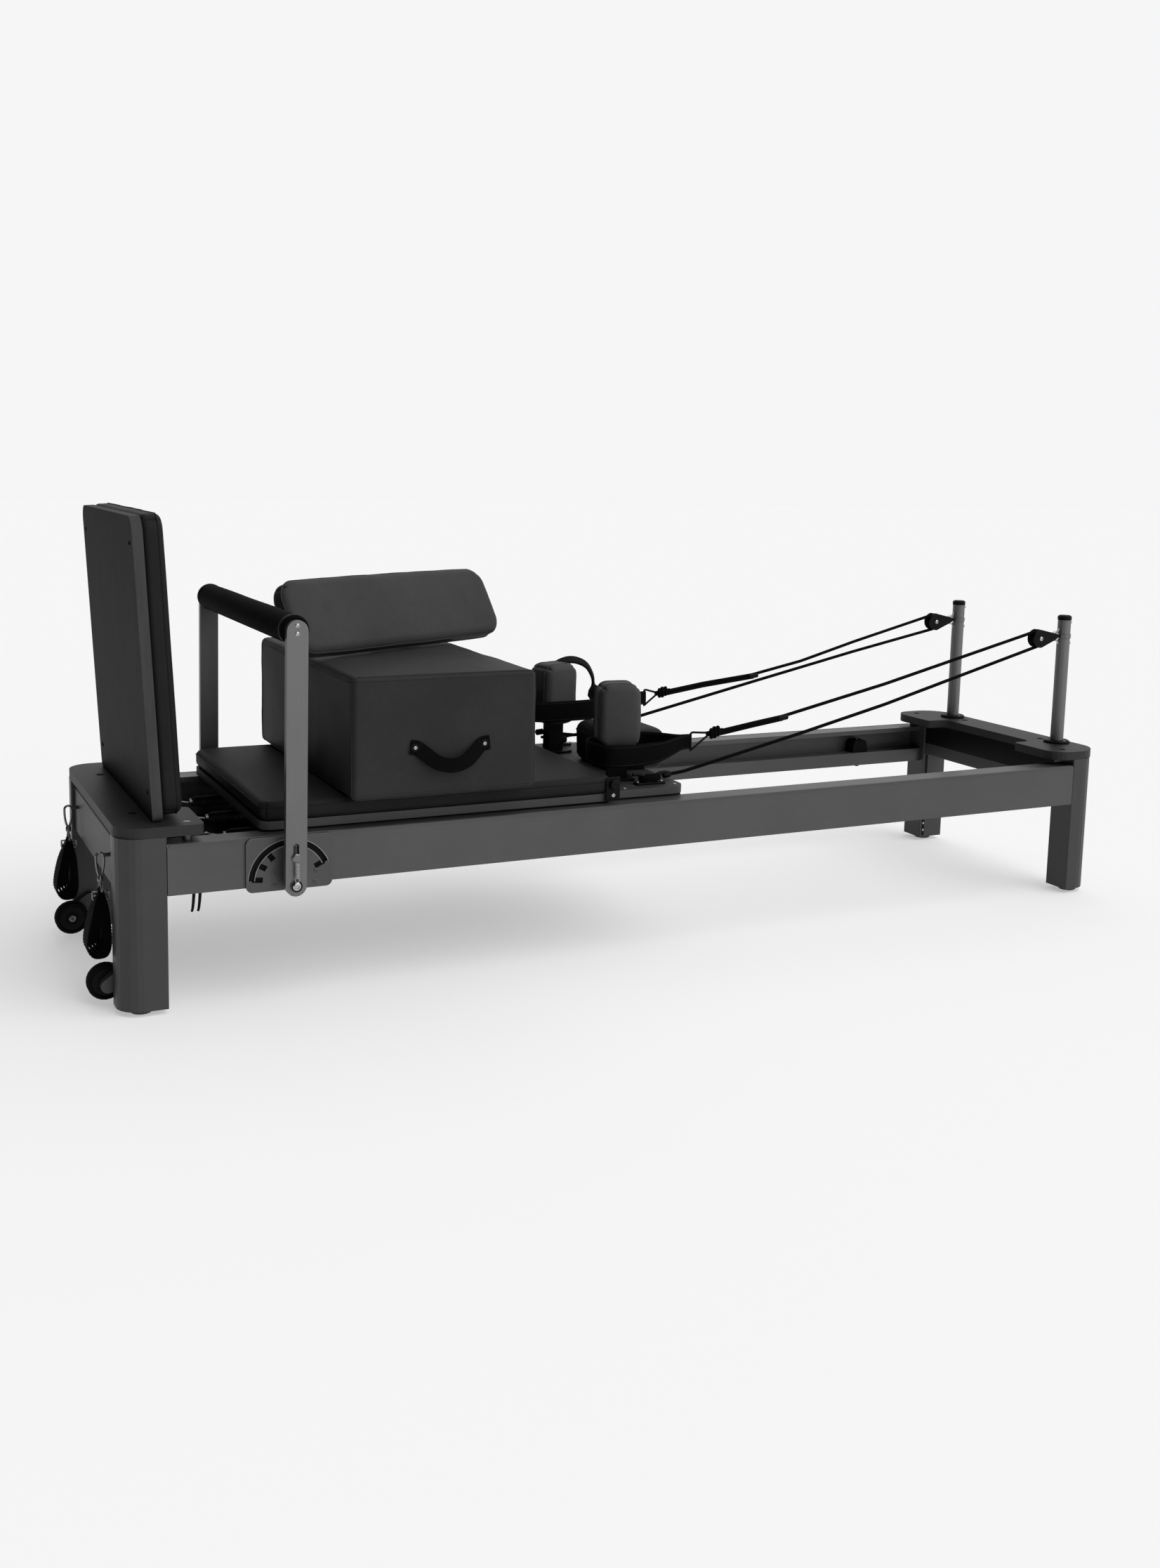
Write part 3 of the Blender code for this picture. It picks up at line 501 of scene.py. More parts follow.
def cushion(name, body, nodes, lo, hi, r, crown, look, seams, place=None, dents=0.0012, steps=16,
            seed=0.0, plan=None, piping=0.0016):
    """Stuffed piece with piped and stitched seams; a seam is (axis, position, corner radius)."""
    s = Shape(name, look, THREAD)
    half = [(b - a) / 2 for a, b in zip(lo, hi)]
    mid = Vector([(a + b) / 2 for a, b in zip(lo, hi)])
    move = swell_of(half, crown, dents, seed, plan)
    s.block(lo, hi, r, 0, place, move, steps, 5)
    for axis, where, radius in seams:
        a, b = (axis + 1) % 3, (axis + 2) % 3
        rows = ((0.0, piping), (-0.006 if where > 0 else 0.006, 0.0))
        for shift, pipe in rows:
            depth = abs(where + shift) - (half[axis] - r)
            inset = r - math.sqrt(max(0.0, r * r - depth * depth)) if depth > 0 else 0.0
            path = []
            flat = [(x, y, 0) for x, y in ring(half[a] - inset, half[b] - inset, max(0.002, radius - inset))]
            for q in resample(flat, 0.007, True):
                p = [0.0, 0.0, 0.0]
                p[axis], p[a], p[b] = where + shift, q[0], q[1]
                path.append(move(Vector(p)) + mid)
            if pipe:
                up = [0.0, 0.0, 0.0]
                up[axis] = 1.0
                s.sweep(path, circle(pipe, 8), up, True, None, 0, place)
            else:
                s.stitches(path, True, 1, place)
    obj = s.done(body)
    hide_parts(*nodes)
    return obj


# ---------------------------------------------------------------- pads
def hub_at(x, y, z, turn):
    """Placement turned about X, then Y, then Z, and moved to a point."""
    about_x, about_y, about_z = (Matrix.Rotation(angle, 4, axis) for angle, axis in zip(turn, "XYZ"))
    return Matrix.Translation(at(x, y, z)) @ (about_z @ about_y @ about_x)


LEAN = math.radians(-3.1)
LEANING = hub_at(-0.0195, 0, 0.3689, (0, LEAN, 0))
cushion("jumpboard_cushion", "jumpboard", ["jumpboard_pad"], (0.0203, -0.290, 0.006), (0.060, 0.290, 0.585),
        0.012, (0.004, 0.0, 0.0), VINYL, ((0, 0.010, 0.003),), LEANING, 0.0012, 20, 1.0, (0, 0.032))
cushion("carriage_cushion", "carriage", ["carriage_pad"], (0.187 + SHIFT, -0.306, 0.3548),
        (0.963 + SHIFT, 0.306, 0.3930), 0.013, (0.0, 0.0, 0.003), VINYL, ((2, 0.009, 0.003),), None,
        0.0010, 24, 2.0, (2, 0.030))
cushion("headrest_cushion", "headrest", ["headrest"], (1.060 + SHIFT, -0.098, 0.3548),
        (1.212 + SHIFT, 0.098, 0.445), 0.020, (0.003, 0.003, 0.006), VINYL,
        ((2, 0.026, 0.003), (2, -0.030, 0.003)), None, 0.0020, 14, 3.0,
        (2, 0.030))
for side, sy in SIDES:
    place = hub_at(1.040, sy * 0.170, 0.3545, (0, 0, math.radians(14) * sy))
    cushion("shoulder_cushion_" + side, "rest_" + side, ["shoulder_rest_" + side], (-0.048, -0.038, 0.0775),
            (0.044, 0.038, 0.2195), 0.012, (0.002, 0.004, 0.003), VINYL_REST_PAINTED_LIGHT,
            ((1, -0.022, 0.008), (1, 0.022, 0.008)),
            place, 0.0018, 12, 4.0 + sy, (1, 0.024))
cushion("box_cushion", "box", ["sitting_box"], (0.358 + SHIFT, -0.352, 0.3933), (0.754 + SHIFT, 0.352, 0.640),
        0.012, (0.003, 0.002, 0.005), VINYL_SOFT,
        ((2, 0.116, 0.012), (2, -0.116, 0.012), (1, 0.344, 0.012), (1, -0.344, 0.012)),
        None, 0.0022, 30, 6.0)
LOOSE = hub_at(0.608, 0.002, 0.666, (math.radians(-28.7), 0, math.radians(27)))
cushion("extender_cushion", "extender", ["extender_pad"], (-0.320, 0.0, 0.0), (0.320, 0.046, 0.165), 0.015,
        (0.002, 0.003, 0.003), VINYL_PAD_PAINTED_LIGHT, ((1, 0.010, 0.003), (1, -0.012, 0.003)),
        LOOSE, 0.0018, 24, 7.0,
        (1, 0.042))

# ---------------------------------------------------------------- foot bar: grip, screws, tension spring
grip = Shape("grip_cover", GRIP, PLASTIC)
profile = [(0.012, -0.3655), (0.0245, -0.3655), (0.0275, -0.362)]
for k in range(61):
    t = -0.356 + 0.712 * k / 60
    profile.append((0.0290 + 0.00012 * math.sin(k * 1.7) - 0.0003 * math.cos(k * 0.21), t))
profile += [(0.0275, 0.362), (0.0245, 0.3655), (0.012, 0.3655)]
grip.lathe(profile, at(GRIP_X, 0, GRIP_Z), (0, 1, 0), 40, 0)
for sy in (-1, 1):
    grip.lathe([(0.0289, -0.006), (0.0298, -0.004), (0.0298, 0.004), (0.0289, 0.006)],
               at(GRIP_X, sy * 0.352, GRIP_Z), (0, 1, 0), 40, 1)
seam = [at(GRIP_X + 0.0292 * math.cos(2.2), -0.34 + 0.68 * k / 50, GRIP_Z - 0.0292 * math.sin(2.2))
        for k in range(51)]
grip.sweep(seam, circle(0.0010, 6), (1, 0, 0), False, None, 0)
grip = grip.done("footbar")
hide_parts("footbar_grip")

bar = Shape("footbar_fittings", BRIGHT, PLASTIC, SPRING_WIRE_AND_PAINTED_HIGHLIGHT)
for side, sy in SIDES:
    face = sy * 0.380
    for z in (0.7495, 0.7335):
        bar.screw(at(0.2395, face, z), (0, sy, 0), 0.0042, 0.0016)
    bar.screw(at(PIVOT_X, sy * 0.3838, PIVOT_Z), (0, sy, 0), 0.0085, 0.0030)
    bar.lathe([(0.0105, 0.0), (0.0112, 0.0012), (0.0098, 0.0020), (0.0088, 0.0004)],
              at(PIVOT_X, sy * 0.3836, PIVOT_Z), (0, sy, 0), 24, 1)
    coil = []
    for k in range(11 * 10):
        a = 2 * math.pi * k / 10
        coil.append(at(PIVOT_X + 0.0042 * math.cos(a), sy * (0.3852 + 0.0030) + 0.0042 * math.sin(a) * 0.55,
                       0.290 - 0.030 * k / 110))
    bar.sweep(coil, circle(0.0009, 5), (0, 0, 1), False, None, 2)
    hook = [at(PIVOT_X + 0.0045 * math.sin(a), sy * 0.3870, 0.2555 - 0.0045 * math.cos(a))
            for a in [math.pi * 2 * k / 12 for k in range(12)]]
    bar.sweep(hook, circle(0.0009, 5), (0, 1, 0), True, None, 2)
bar.done("footbar")

# ---------------------------------------------------------------- springs with hooked ends
for k, y in enumerate((-0.16, 0.0, 0.16)):
    spring = Shape("coil_spring_%d" % (k + 1), DARK_WIRE, HOOK)
    path = []
    turns, per = 150, 9
    for i in range(turns * per + 1):
        a = 2 * math.pi * i / per
        taper = min(1.0, min(i, turns * per - i) / (4.0 * per)) * 0.45 + 0.55
        path.append(at(0.146 + 0.606 * i / (turns * per), y + 0.0112 * taper * math.cos(a),
                       0.300 + 0.0112 * taper * math.sin(a)))
    spring.sweep(path, circle(0.0013, 5), (1, 0, 0), False, None, 0)
    for x0, x1 in ((0.1045, 0.152), (0.798, 0.746)):
        way = 1 if x1 > x0 else -1
        hook = smooth_path([at(x1, y, 0.300), at(x1 - way * 0.012, y, 0.300), at(x0 + way * 0.018, y, 0.3035),
                            at(x0 + way * 0.006, y, 0.308), at(x0, y, 0.302), at(x0 + way * 0.005, y, 0.295),
                            at(x0 + way * 0.012, y, 0.2955)], 6)
        spring.sweep(hook, circle(0.0022, 8), (0, 1, 0), False, None, 1)
        spring.lathe([(0.0035, -0.004), (0.0078, -0.003), (0.0078, 0.003), (0.0035, 0.004)],
                     at(x1 - way * 0.004, y, 0.300), (1, 0, 0), 16, 1)
    piece = spring.done("carriage")
    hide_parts("spring_%d" % (k + 1))

# ---------------------------------------------------------------- box handles
for side, sy in SIDES:
    handle = Shape("box_grip_" + side, WEB, BRIGHT, THREAD, PLASTIC)
    path = [at(0.476, sy * 0.3560, 0.4965), at(0.484, sy * 0.3560, 0.4950), at(0.492, sy * 0.3562, 0.4930),
            at(0.505, sy * 0.3610, 0.4830), at(0.530, sy * 0.3690, 0.4640), at(0.5624, sy * 0.3710, 0.4565),
            at(0.594, sy * 0.3690, 0.4640), at(0.618, sy * 0.3610, 0.4830), at(0.630, sy * 0.3562, 0.4930),
            at(0.638, sy * 0.3560, 0.4950), at(0.648, sy * 0.3560, 0.4965)]
    handle.sweep(smooth_path(path, 5), ribbon(0.030, 0.0036), (0, 1, 0))
    for x in (0.486, 0.636):
        handle.screw(at(x, sy * 0.3580, 0.4950), (0, sy, 0), 0.0044, 0.0024, 1)
        handle.lathe([(0.0085, -0.0004), (0.0085, 0.0008), (0.0060, 0.0012)], at(x, sy * 0.3578, 0.4950),
                     (0, sy, 0), 20, 3)
        for dx in (-0.012, 0.012):
            handle.stitches([at(x + dx, sy * 0.3581, 0.4950 + t) for t in (-0.012, 0.012)], False, 2, None,
                            0.004)
    piece = handle.done("box")
    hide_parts("box_handle_" + side)

# ---------------------------------------------------------------- foot straps, rings and rope ties
LOOPS = {"near": [(1.214, -0.205, 0.4375), (1.190, -0.207, 0.436), (1.160, -0.219, 0.431),
                  (1.120, -0.231, 0.424), (1.050, -0.238, 0.420), (0.996, -0.232, 0.420),
                  (0.976, -0.205, 0.421), (0.973, -0.165, 0.421), (0.986, -0.128, 0.421),
                  (1.020, -0.112, 0.421), (1.080, -0.112, 0.424), (1.125, -0.130, 0.430),
                  (1.158, -0.168, 0.4345), (1.182, -0.194, 0.436)],
         "far": [(1.316, 0.205, 0.4725), (1.288, 0.206, 0.4715), (1.252, 0.215, 0.471),
                 (1.215, 0.228, 0.474), (1.186, 0.238, 0.492), (1.181, 0.242, 0.528),
                 (1.162, 0.243, 0.558), (1.125, 0.243, 0.572), (1.085, 0.242, 0.565), (1.043, 0.240, 0.538),
                 (0.990, 0.228, 0.500), (0.955, 0.195, 0.476), (0.952, 0.150, 0.468), (0.972, 0.120, 0.466),
                 (1.030, 0.112, 0.466), (1.120, 0.114, 0.467), (1.200, 0.150, 0.469),
                 (1.258, 0.190, 0.4705)]}
KNOT = {"near": (1.274, 0.4550), "far": (1.366, 0.4840)}
for side, narrow in (("near", 1.190), ("far", 1.280)):
    sy = dict(SIDES)[side]
    strap = Shape("foot_loop_" + side, WEB, THREAD)
    path = smooth_path([at(*p) for p in LOOPS[side]], 5, True)
    widths = [0.034 + 0.016 * max(0.0, min(1.0, (narrow - (p.x - SHIFT)) / 0.10)) for p in path]
    ups = []
    for p in path:
        k = max(0.0, min(1.0, (p.z - 0.480) / 0.05))
        ups.append(Vector((0.43 * k, 0.9 * k, 1 - 0.85 * k)).normalized())
    strap.sweep(path, [on_edge(ribbon(w, 0.0040 + 0.0035 * (w - 0.034) / 0.016)) for w in widths], ups, True)
    for edge in (-0.40, 0.40):
        for face in (-1, 1):
            row = []
            for i, p in enumerate(path):
                tangent = (path[(i + 1) % len(path)] - path[i - 1]).normalized()
                out = tangent.cross(ups[i]).normalized()
                thick = 0.0040 + 0.0035 * (widths[i] - 0.034) / 0.016
                row.append(p + out.cross(tangent) * edge * widths[i] + out * face * thick * 0.43)
            strap.stitches(row, True, 1)
    piece = strap.done("carriage")
    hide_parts("strap_" + side)

    tie = Shape("rope_tie_" + side, PLASTIC, BRAID)
    kx, kz = KNOT[side]
    lx, lz = LOOPS[side][0][0], LOOPS[side][0][2]
    tilt = (kz - lz) / (kx - lx)
    corners = [(lx - 0.003, lz - 0.021), (lx - 0.003, lz + 0.021), (kx - 0.018, kz), (kx - 0.018, kz - 0.006)]
    way = [at(x, sy * ROPE_Y, z) for x, z in corners]
    tie.sweep(smooth_path(resample(way, 0.008, True), 2, True), circle(0.0026, 8), (0, 1, 0), True, None, 0)
    for dx, r in ((-0.008, 0.0085), (0.0, 0.0100), (0.009, 0.0085)):
        loop = [at(kx + dx + 0.0035 * math.cos(a), sy * ROPE_Y + r * math.cos(a),
                   kz + dx * tilt + r * math.sin(a))
                for a in [2 * math.pi * k / 20 for k in range(20)]]
        tie.sweep(loop, circle(0.0046, 8), (1, 0, 0), True, None, 1)
    tie.sweep([at(kx - 0.020, sy * ROPE_Y, kz - 0.003), at(kx + 0.022, sy * ROPE_Y, kz + 0.003)],
              circle(0.0065, 10),
              (0, 1, 0), False, None, 1)
    tie.done("carriage")


def arc_pts(cx, cz, r, a0, a1, n):
    return [(cx + r * math.cos(math.radians(a0 + (a1 - a0) * i / n)),
             cz + r * math.sin(math.radians(a0 + (a1 - a0) * i / n))) for i in range(n + 1)]


ROUTES = {"near": ([(1.281, 0.4575), (1.290, 0.4590), (1.310, 0.4620), (1.380, 0.4715), (1.4600, 0.4828)],
                   [(1.4700, 0.4850), (1.600, 0.5135), (1.7536, 0.5470)],
                   [(1.7568, 0.4965), (1.5132, 0.4391), (1.300, 0.3920), (1.195, 0.3690), (1.150, 0.3640)]),
          "far": ([(1.370, 0.4850), (1.380, 0.4870), (1.400, 0.4900), (1.4846, 0.5017), (1.640, 0.5185)],
                  [(1.652, 0.5215), (1.789, 0.5490), (1.960, 0.5960)],
                  [(1.960, 0.5690), (1.640, 0.4995), (1.3014, 0.4250), (1.120, 0.3860), (1.020, 0.4000)])}
PULLEY_X, PULLEY_Z, WRAP, ROPE_R = 2.2315, 0.6443, 0.0199, 0.0042
for side, sy in SIDES:
    doubled, upper, lower = ROUTES[side]
    rise = math.degrees(math.atan2(PULLEY_Z + WRAP - upper[-1][1], PULLEY_X - upper[-1][0]))
    fall = math.degrees(math.atan2(PULLEY_Z - WRAP - lower[0][1], PULLEY_X - lower[0][0]))
    around = arc_pts(PULLEY_X, PULLEY_Z, WRAP, 90 + rise, -90 + fall, 20)
    start = [(KNOT[side][0] + 0.006, KNOT[side][1] + 0.001)]
    line = start + doubled[3:] + upper + around + lower
    fine = resample([at(x, sy * ROPE_Y, z) for x, z in line], 0.012)
    rope = Shape("pull_rope_" + side, BRAID)
    rope.sweep(fine, circle(ROPE_R, 10), (0, 1, 0))
    piece = rope.done(None)
    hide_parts("rope_" + side)
    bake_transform(piece)
    tail = Shape("rope_tail_" + side, BRAID, PLASTIC)
    low = [at(x, sy * ROPE_Y - sy * 0.0006, z - 0.0072) for x, z in [start[0]] + doubled[3:]]
    tail.sweep(resample(low, 0.02), circle(ROPE_R, 10), (0, 1, 0))
    ex, ez = doubled[-1]
    tail.lathe([(0.0046, -0.014), (0.0068, -0.012), (0.0068, 0.012), (0.0046, 0.014)],
               at(ex, sy * ROPE_Y, ez - 0.0032), (1, 0, 0.13), 14, 1)
    tail.done("carriage")

# ---------------------------------------------------------------- fittings on the carriage
deck = Shape("carriage_fittings", PLASTIC, BRIGHT, BRAID)
for side, sy in SIDES:
    deck.block(tuple(at(0.943, min(sy * 0.3065, sy * 0.3105), 0.3400)),
               tuple(at(0.977, max(sy * 0.3065, sy * 0.3105), 0.3920)), 0.0018)
    deck.lathe([(0.004, 0.0), (0.0105, 0.001), (0.0115, 0.006), (0.0095, 0.010), (0.002, 0.0105)],
               at(0.960, sy * 0.3100, 0.376), (0, sy, 0), 20, 0)
    deck.screw(at(0.960, sy * 0.3102, 0.352), (0, sy, 0), 0.0050, 0.0022, 1)
    lo, hi = at(1.050, min(sy * 0.255, sy * 0.233), 0.3547), at(1.122, max(sy * 0.255, sy * 0.233), 0.3600)
    deck.block(tuple(lo), tuple(hi), 0.002)
    for x, way in ((1.072, -1), (1.100, 1)):
        horn = smooth_path([at(x, sy * 0.244, 0.358), at(x, sy * 0.244, 0.368),
                            at(x + way * 0.010, sy * 0.244, 0.3770),
                            at(x + way * 0.030, sy * 0.244, 0.3790)], 6)
        deck.sweep(horn, circle(0.0052, 10), (0, 1, 0), False,
                   [1.25 - 0.55 * i / (len(horn) - 1) for i in range(len(horn))])
    for x in (1.056, 1.116):
        deck.screw(at(x, sy * 0.244, 0.3598), (0, 0, 1), 0.0038, 0.0016, 1)
    coil = []
    for k in range(60):
        a = 2 * math.pi * k / 20
        coil.append(at(1.086 + 0.024 * math.cos(a), sy * 0.244 + 0.012 * math.sin(a),
                       0.3645 + 0.0030 * k / 20))
    deck.sweep(coil, circle(0.0038, 8), (0, 0, 1), False, None, 2)
    deck.block(tuple(at(0.925, min(sy * 0.2620, sy * 0.2745), 0.3050)),
               tuple(at(1.150, max(sy * 0.2620, sy * 0.2745), 0.3372)), 0.0018)
    for x, y in ((1.010, 0.268), (1.140, 0.262), (1.140, 0.180)):
        deck.screw(at(x, sy * y, 0.3544), (0, 0, 1), 0.0046, 0.0018, 1)
    end = ROUTES[side][2][-1]
    deck.lathe([(0.0048, -0.010), (0.0075, -0.008), (0.0075, 0.008), (0.0048, 0.010)],
               at(end[0], sy * ROPE_Y, end[1]), (1, 0, 0.1), 16, 0)
deck.done("carriage")

# ---------------------------------------------------------------- fixed fittings
fixed = Shape("frame_fittings", BRIGHT, PLASTIC, DARK_STEEL, STEEL, SPRING_WIRE_AND_PAINTED_HIGHLIGHT)
for side, sy in SIDES:
    for x, z in ((0.2033, 0.2604), (0.2033, 0.2350), (0.2880, 0.2577), (0.2865, 0.2350)):
        fixed.screw(at(x, sy * 0.3363, z), (0, sy, 0), 0.0046, 0.0014, 2)
    for z in (0.6830, 0.6290):
        fixed.screw(at(2.3335, sy * ROPE_Y, z), (1, 0, 0), 0.0052, 0.0060)
    fixed.lathe([(0.0166, -0.006), (0.0182, -0.005), (0.0182, 0.005), (0.0166, 0.006)],
                at(RISER_X, sy * ROPE_Y, 0.6483), (0, 0, 1), 28, 3)
    eye = [at(2.2890 + 0.0105 * math.cos(a), sy * ROPE_Y, 0.6483 + 0.0105 * math.sin(a))
           for a in [2 * math.pi * k / 24 for k in range(24)]]
    fixed.sweep(eye, circle(0.0028, 8), (0, 1, 0), True, None, 0)
    for z0, z1 in ((0.668, 0.653), (0.629, 0.644)):
        fixed.sweep([at(2.3000, sy * ROPE_Y, z0), at(2.2920, sy * ROPE_Y, z1)], circle(0.0022, 8),
                    (0, 1, 0), False, None, 0)
    fixed.screw(at(2.2315, sy * ROPE_Y - 0.0125, 0.6443), (0, -1, 0), 0.0056, 0.0022)
    fixed.screw(at(2.2315, sy * ROPE_Y + 0.0125, 0.6443), (0, 1, 0), 0.0056, 0.0022)
    for a in (30, 150, 270):
        r = 0.0262
        fixed.screw(at(RISER_X + r * math.cos(math.radians(a)), sy * ROPE_Y + r * math.sin(math.radians(a)),
                       0.3752),
                    (0, 0, 1), 0.0026, 0.0014)
    for x, y in ((-0.040, 0.195), (2.257, 0.292), (2.314, 0.150)):
        fixed.screw(at(x, sy * y, 0.3636), (0, 0, 1), 0.0060, 0.0030, 1)
    fixed.lathe([(0.0030, 0.0), (0.0060, -0.001), (0.0060, -0.006), (0.002, -0.007)],
                at(2.0560, sy * 0.296, 0.2332),
                (0, 0, 1), 12, 1)
    fixed.screw(at(2.056, sy * 0.300, 0.3028), (0, 0, 1), 0.0045, 0.0014)
    for x in (0.056, 0.068):
        prong = smooth_path([at(x, sy * 0.300, 0.2334), at(x - 0.001, sy * 0.300, 0.215),
                             at(x - 0.003, sy * 0.300, 0.196), at(x - 0.005, sy * 0.300, 0.189)], 4)
        fixed.sweep(prong, circle(0.0034, 8), (0, 1, 0), False, [1.0 - 0.3 * i / 12 for i in range(13)], 1)
    fixed.sweep([at(0.004, sy * 0.3298, 0.3296), at(2.259, sy * 0.3298, 0.3296)],
                [(-0.0030, -0.0012), (0.0030, -0.0012), (0.0030, 0.0012), (-0.0030, 0.0012)],
                (0, 1, 0), False, None, 2)
    # thin bright arcs along the quadrant slot's edges: painted highlights standing in for its bevelled walls
    for r in (0.0710, 0.0840):
        fixed.sweep([at(PIVOT_X + x, sy * 0.3364, PIVOT_Z + z) for x, z in arc_pts(0, 0, r, 24, 176, 40)],
                    circle(0.0008, 6), (0, 1, 0), False, None, 4)
    # thin steel-coloured outline round the quadrant's rim: a painted highlight of its bevelled edge
    quadrant_painted_highlight = [at(x + 0.235, sy * 0.3362, z + 0.278) for x, z in ring(0.0855, 0.0535, 0.012)]
    fixed.sweep(quadrant_painted_highlight, circle(0.0007, 6), (0, 1, 0), True, None, 3)
    # thin black sheet on the rail face behind the quadrant: painted shade seen through its slot
    fixed.block(tuple(at(0.155, min(sy * 0.33005, sy * 0.3302), 0.228)),
                tuple(at(0.315, max(sy * 0.33005, sy * 0.3302), 0.329)), 0.00005, 1)
    fixed.block(tuple(at(2.2700, min(sy * 0.2576, sy * 0.2590), 0.014)),
                tuple(at(2.2790, max(sy * 0.2576, sy * 0.2590), 0.345)), 0.0004, 1)
    for k in range(5):
        fixed.lathe([(0.0024, 0.0), (0.0030, 0.0008), (0.0016, 0.0012)],
                    at(2.2745, sy * 0.2577, 0.030 + 0.020 * k),
                    (0, -sy, 0), 12, 0)
# thin black sheet on the foot-facing side of the head beam: painted shade under the head platform
fixed.block(tuple(at(2.2650, -0.256, 0.2880)), tuple(at(2.2662, 0.256, 0.3470)), 0.0004, 1)
for y in (-0.16, 0.0, 0.16):
    fixed.lathe([(0.0022, 0.0), (0.0022, 0.012), (0.0046, 0.014), (0.0046, 0.019), (0.002, 0.020)],
                at(0.088, y, 0.2895), (0, 0, 1), 16, 0)
fixed.done("frame")

for side, sy in SIDES:
    disc = Shape("wheel_disc_" + side, PLASTIC, STEEL)
    centre = at(-0.102, sy * 0.225, 0.046)
    for way in (-1, 1):
        disc.lathe([(0.0150, 0.0085), (0.0275, 0.0086), (0.0268, 0.0100), (0.0160, 0.0112)], centre,
                   (0, way, 0), 30)
        disc.screw(centre + Vector((0, way * 0.0125, 0)), (0, way, 0), 0.0075, 0.0026, 1)
        for k in range(5):
            a = 2 * math.pi * k / 5
            spot = centre + Vector((0.021 * math.cos(a), way * 0.0098, 0.021 * math.sin(a)))
            disc.lathe([(0.0020, 0.0), (0.0034, 0.0012), (0.0024, 0.0018)], spot, (0, way, 0), 10)
    disc.done("wheel_" + side)

# ---------------------------------------------------------------- spare straps on the foot beam
for side, sy in SIDES:
    spare = Shape("spare_loop_" + side, WEB, HOOK, THREAD)
    cx, cy = -0.106, sy * 0.215
    gate = [at(cx + x, cy + 0.0, z) for x, z in
            ((0.0, 0.3000), (0.0065, 0.2960), (0.0075, 0.2860), (0.0062, 0.2700), (0.0035, 0.2580),
             (0.0, 0.2540),
             (-0.0035, 0.2580), (-0.0062, 0.2700), (-0.0075, 0.2860), (-0.0065, 0.2960))]
    spare.sweep(smooth_path(gate, 5, True), circle(0.0024, 8), (0, 1, 0), True, None, 1)
    spare.lathe([(0.0030, 0.0), (0.0058, 0.002), (0.0058, 0.010), (0.0036, 0.013)], at(cx, cy, 0.2420),
                (0, 0, 1), 16, 1)
    bow = [at(cx, cy + y, z) for y, z in ((-0.015, 0.2260), (0.015, 0.2260), (0.015, 0.2330), (0.006, 0.2430),
                                          (-0.006, 0.2430), (-0.015, 0.2330))]
    spare.sweep(smooth_path(bow, 3, True), circle(0.0020, 8), (1, 0, 0), True, None, 1)
    for layer, reach in enumerate((1.0, 0.80, 0.60, 0.40, 0.20)):
        loop = smooth_path([at(cx + x * reach, cy, 0.165 + (z - 0.165) * (0.60 + 0.40 * reach)) for x, z in
                            ((0.0, 0.2290), (0.0050, 0.2180), (0.0100, 0.1950), (0.0130, 0.1600),
                             (0.0140, 0.1250),
                             (0.0080, 0.1030), (-0.0050, 0.0975), (-0.0200, 0.1010), (-0.0290, 0.1190),
                             (-0.0260, 0.1500), (-0.0160, 0.1900), (-0.0060, 0.2180))], 5, True)
        wide = [0.020 + (0.034 - 0.003 * layer) * max(0.0, min(1.0, (0.215 - p.z) / 0.035)) for p in loop]
        spare.sweep(loop, [on_edge(ribbon(w, 0.0046)) for w in wide], (0, 1, 0), True)
        for edge in (-0.42, 0.42):
            row = [p + Vector((math.copysign(0.0023, p.x - cx - SHIFT), edge * w, 0))
                   for p, w in zip(loop, wide)]
            if not layer:
                spare.stitches(row, True, 2)
    buckle = [at(cx + x, cy, z) for x, z in
              ((-0.0150, 0.2230), (0.0150, 0.2230), (0.0150, 0.2070), (-0.0150, 0.2070))]
    spare.sweep(smooth_path(resample(buckle, 0.006, True), 2, True), circle(0.0019, 8), (0, 1, 0), True,
                None, 1)
    spare.lathe([(0.0014, -0.0150), (0.0018, -0.013), (0.0018, 0.013), (0.0014, 0.0150)], at(cx, cy, 0.2150),
                (1, 0, 0), 10, 1)
    piece = spare.done("spare_" + side)
    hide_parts("spare_strap_" + side)


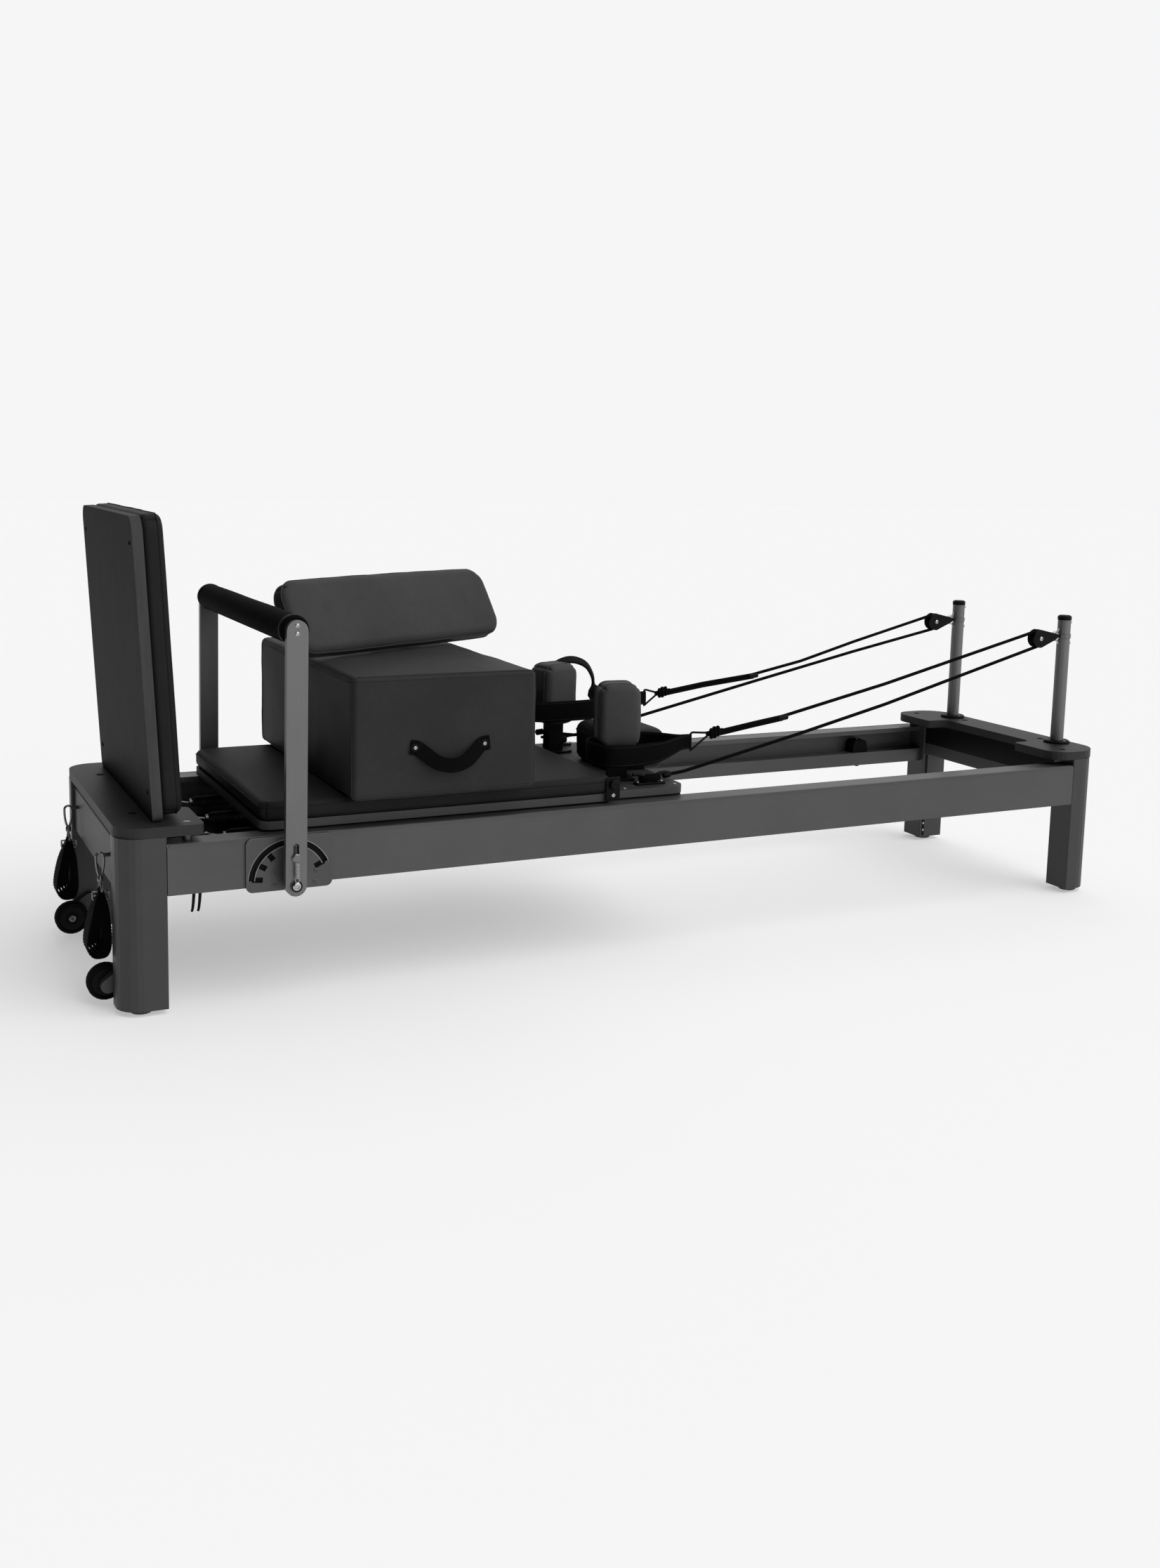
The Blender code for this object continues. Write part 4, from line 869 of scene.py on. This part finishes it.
# ---------------------------------------------------------------- camera, floor and light
def make_camera():
    data = bpy.data.cameras.new("camera")
    cam = bpy.data.objects.new("camera", data)
    scene.collection.objects.link(cam)
    back = Vector((math.sin(CAM_AZ) * math.cos(CAM_EL), -math.cos(CAM_AZ) * math.cos(CAM_EL),
                   math.sin(CAM_EL)))
    right = Vector((0, 0, 1)).cross(back).normalized()
    up = back.cross(right)
    c, s = math.cos(CAM_ROLL), math.sin(CAM_ROLL)
    m = Matrix((c * right + s * up, c * up - s * right, back)).transposed().to_4x4()
    cam.matrix_world = Matrix.Translation(CAM_AT) @ m
    data.sensor_width = 36.0
    data.lens = LENS
    data.shift_x = LENS_SHIFT[0]
    data.shift_y = LENS_SHIFT[1]
    scene.camera = cam


def make_stage():
    bpy.ops.mesh.primitive_plane_add(size=60, location=(0, 0, -0.0005))
    floor = bpy.context.object
    floor.name = "floor"
    m = bpy.data.materials.new("floor_paint")
    m.use_nodes = True
    b = m.node_tree.nodes["Principled BSDF"]
    b.inputs["Base Color"].default_value = (0.550, 0.550, 0.550, 1)
    b.inputs["Emission Color"].default_value = (1, 1, 1, 1)
    b.inputs["Emission Strength"].default_value = 0.402
    b.inputs["Roughness"].default_value = 1.0
    b.inputs["Specular IOR Level"].default_value = 0.0
    floor.data.materials.append(m)
    world = bpy.data.worlds.new("studio")
    world.use_nodes = True
    scene.world = world
    bg = world.node_tree.nodes["Background"]
    bg.inputs["Color"].default_value = (1, 1, 1, 1)
    nt = world.node_tree
    where = node(nt, "TexCoord")
    split = node(nt, "SeparateXYZ")
    link(nt, where.outputs["Generated"], split.inputs["Vector"])
    fade = node(nt, "MapRange", **{"From Min": -0.30, "From Max": 0.07, "To Min": 0.015, "To Max": 0.913})
    link(nt, split.outputs["X"], fade.inputs["Value"])
    # a flat pale tone for direct camera rays only, so the dark side of the sky is not seen; it lights nothing
    seen = maths(nt, "MULTIPLY", node(nt, "LightPath").outputs["Is Camera Ray"], BACKDROP)
    link(nt, maths(nt, "MAXIMUM", seen, fade.outputs["Result"]), bg.inputs["Strength"])
    for name, way, power, spread in (("key", (0.45, -0.62, 1.0), 1.05, 50),
                                     ("top", (0.1, 0.3, 1.0), 0.35, 80),
                                     ("fill", (0.3, -1.0, 0.35), 0.5, 50)):
        light = bpy.data.lights.new(name, "SUN")
        light.energy = power
        light.angle = math.radians(spread)
        o = bpy.data.objects.new(name, light)
        scene.collection.objects.link(o)
        o.rotation_euler = Vector(way).to_track_quat("Z", "Y").to_euler()
    scene.view_settings.view_transform = "Standard"


make_camera()
make_stage()
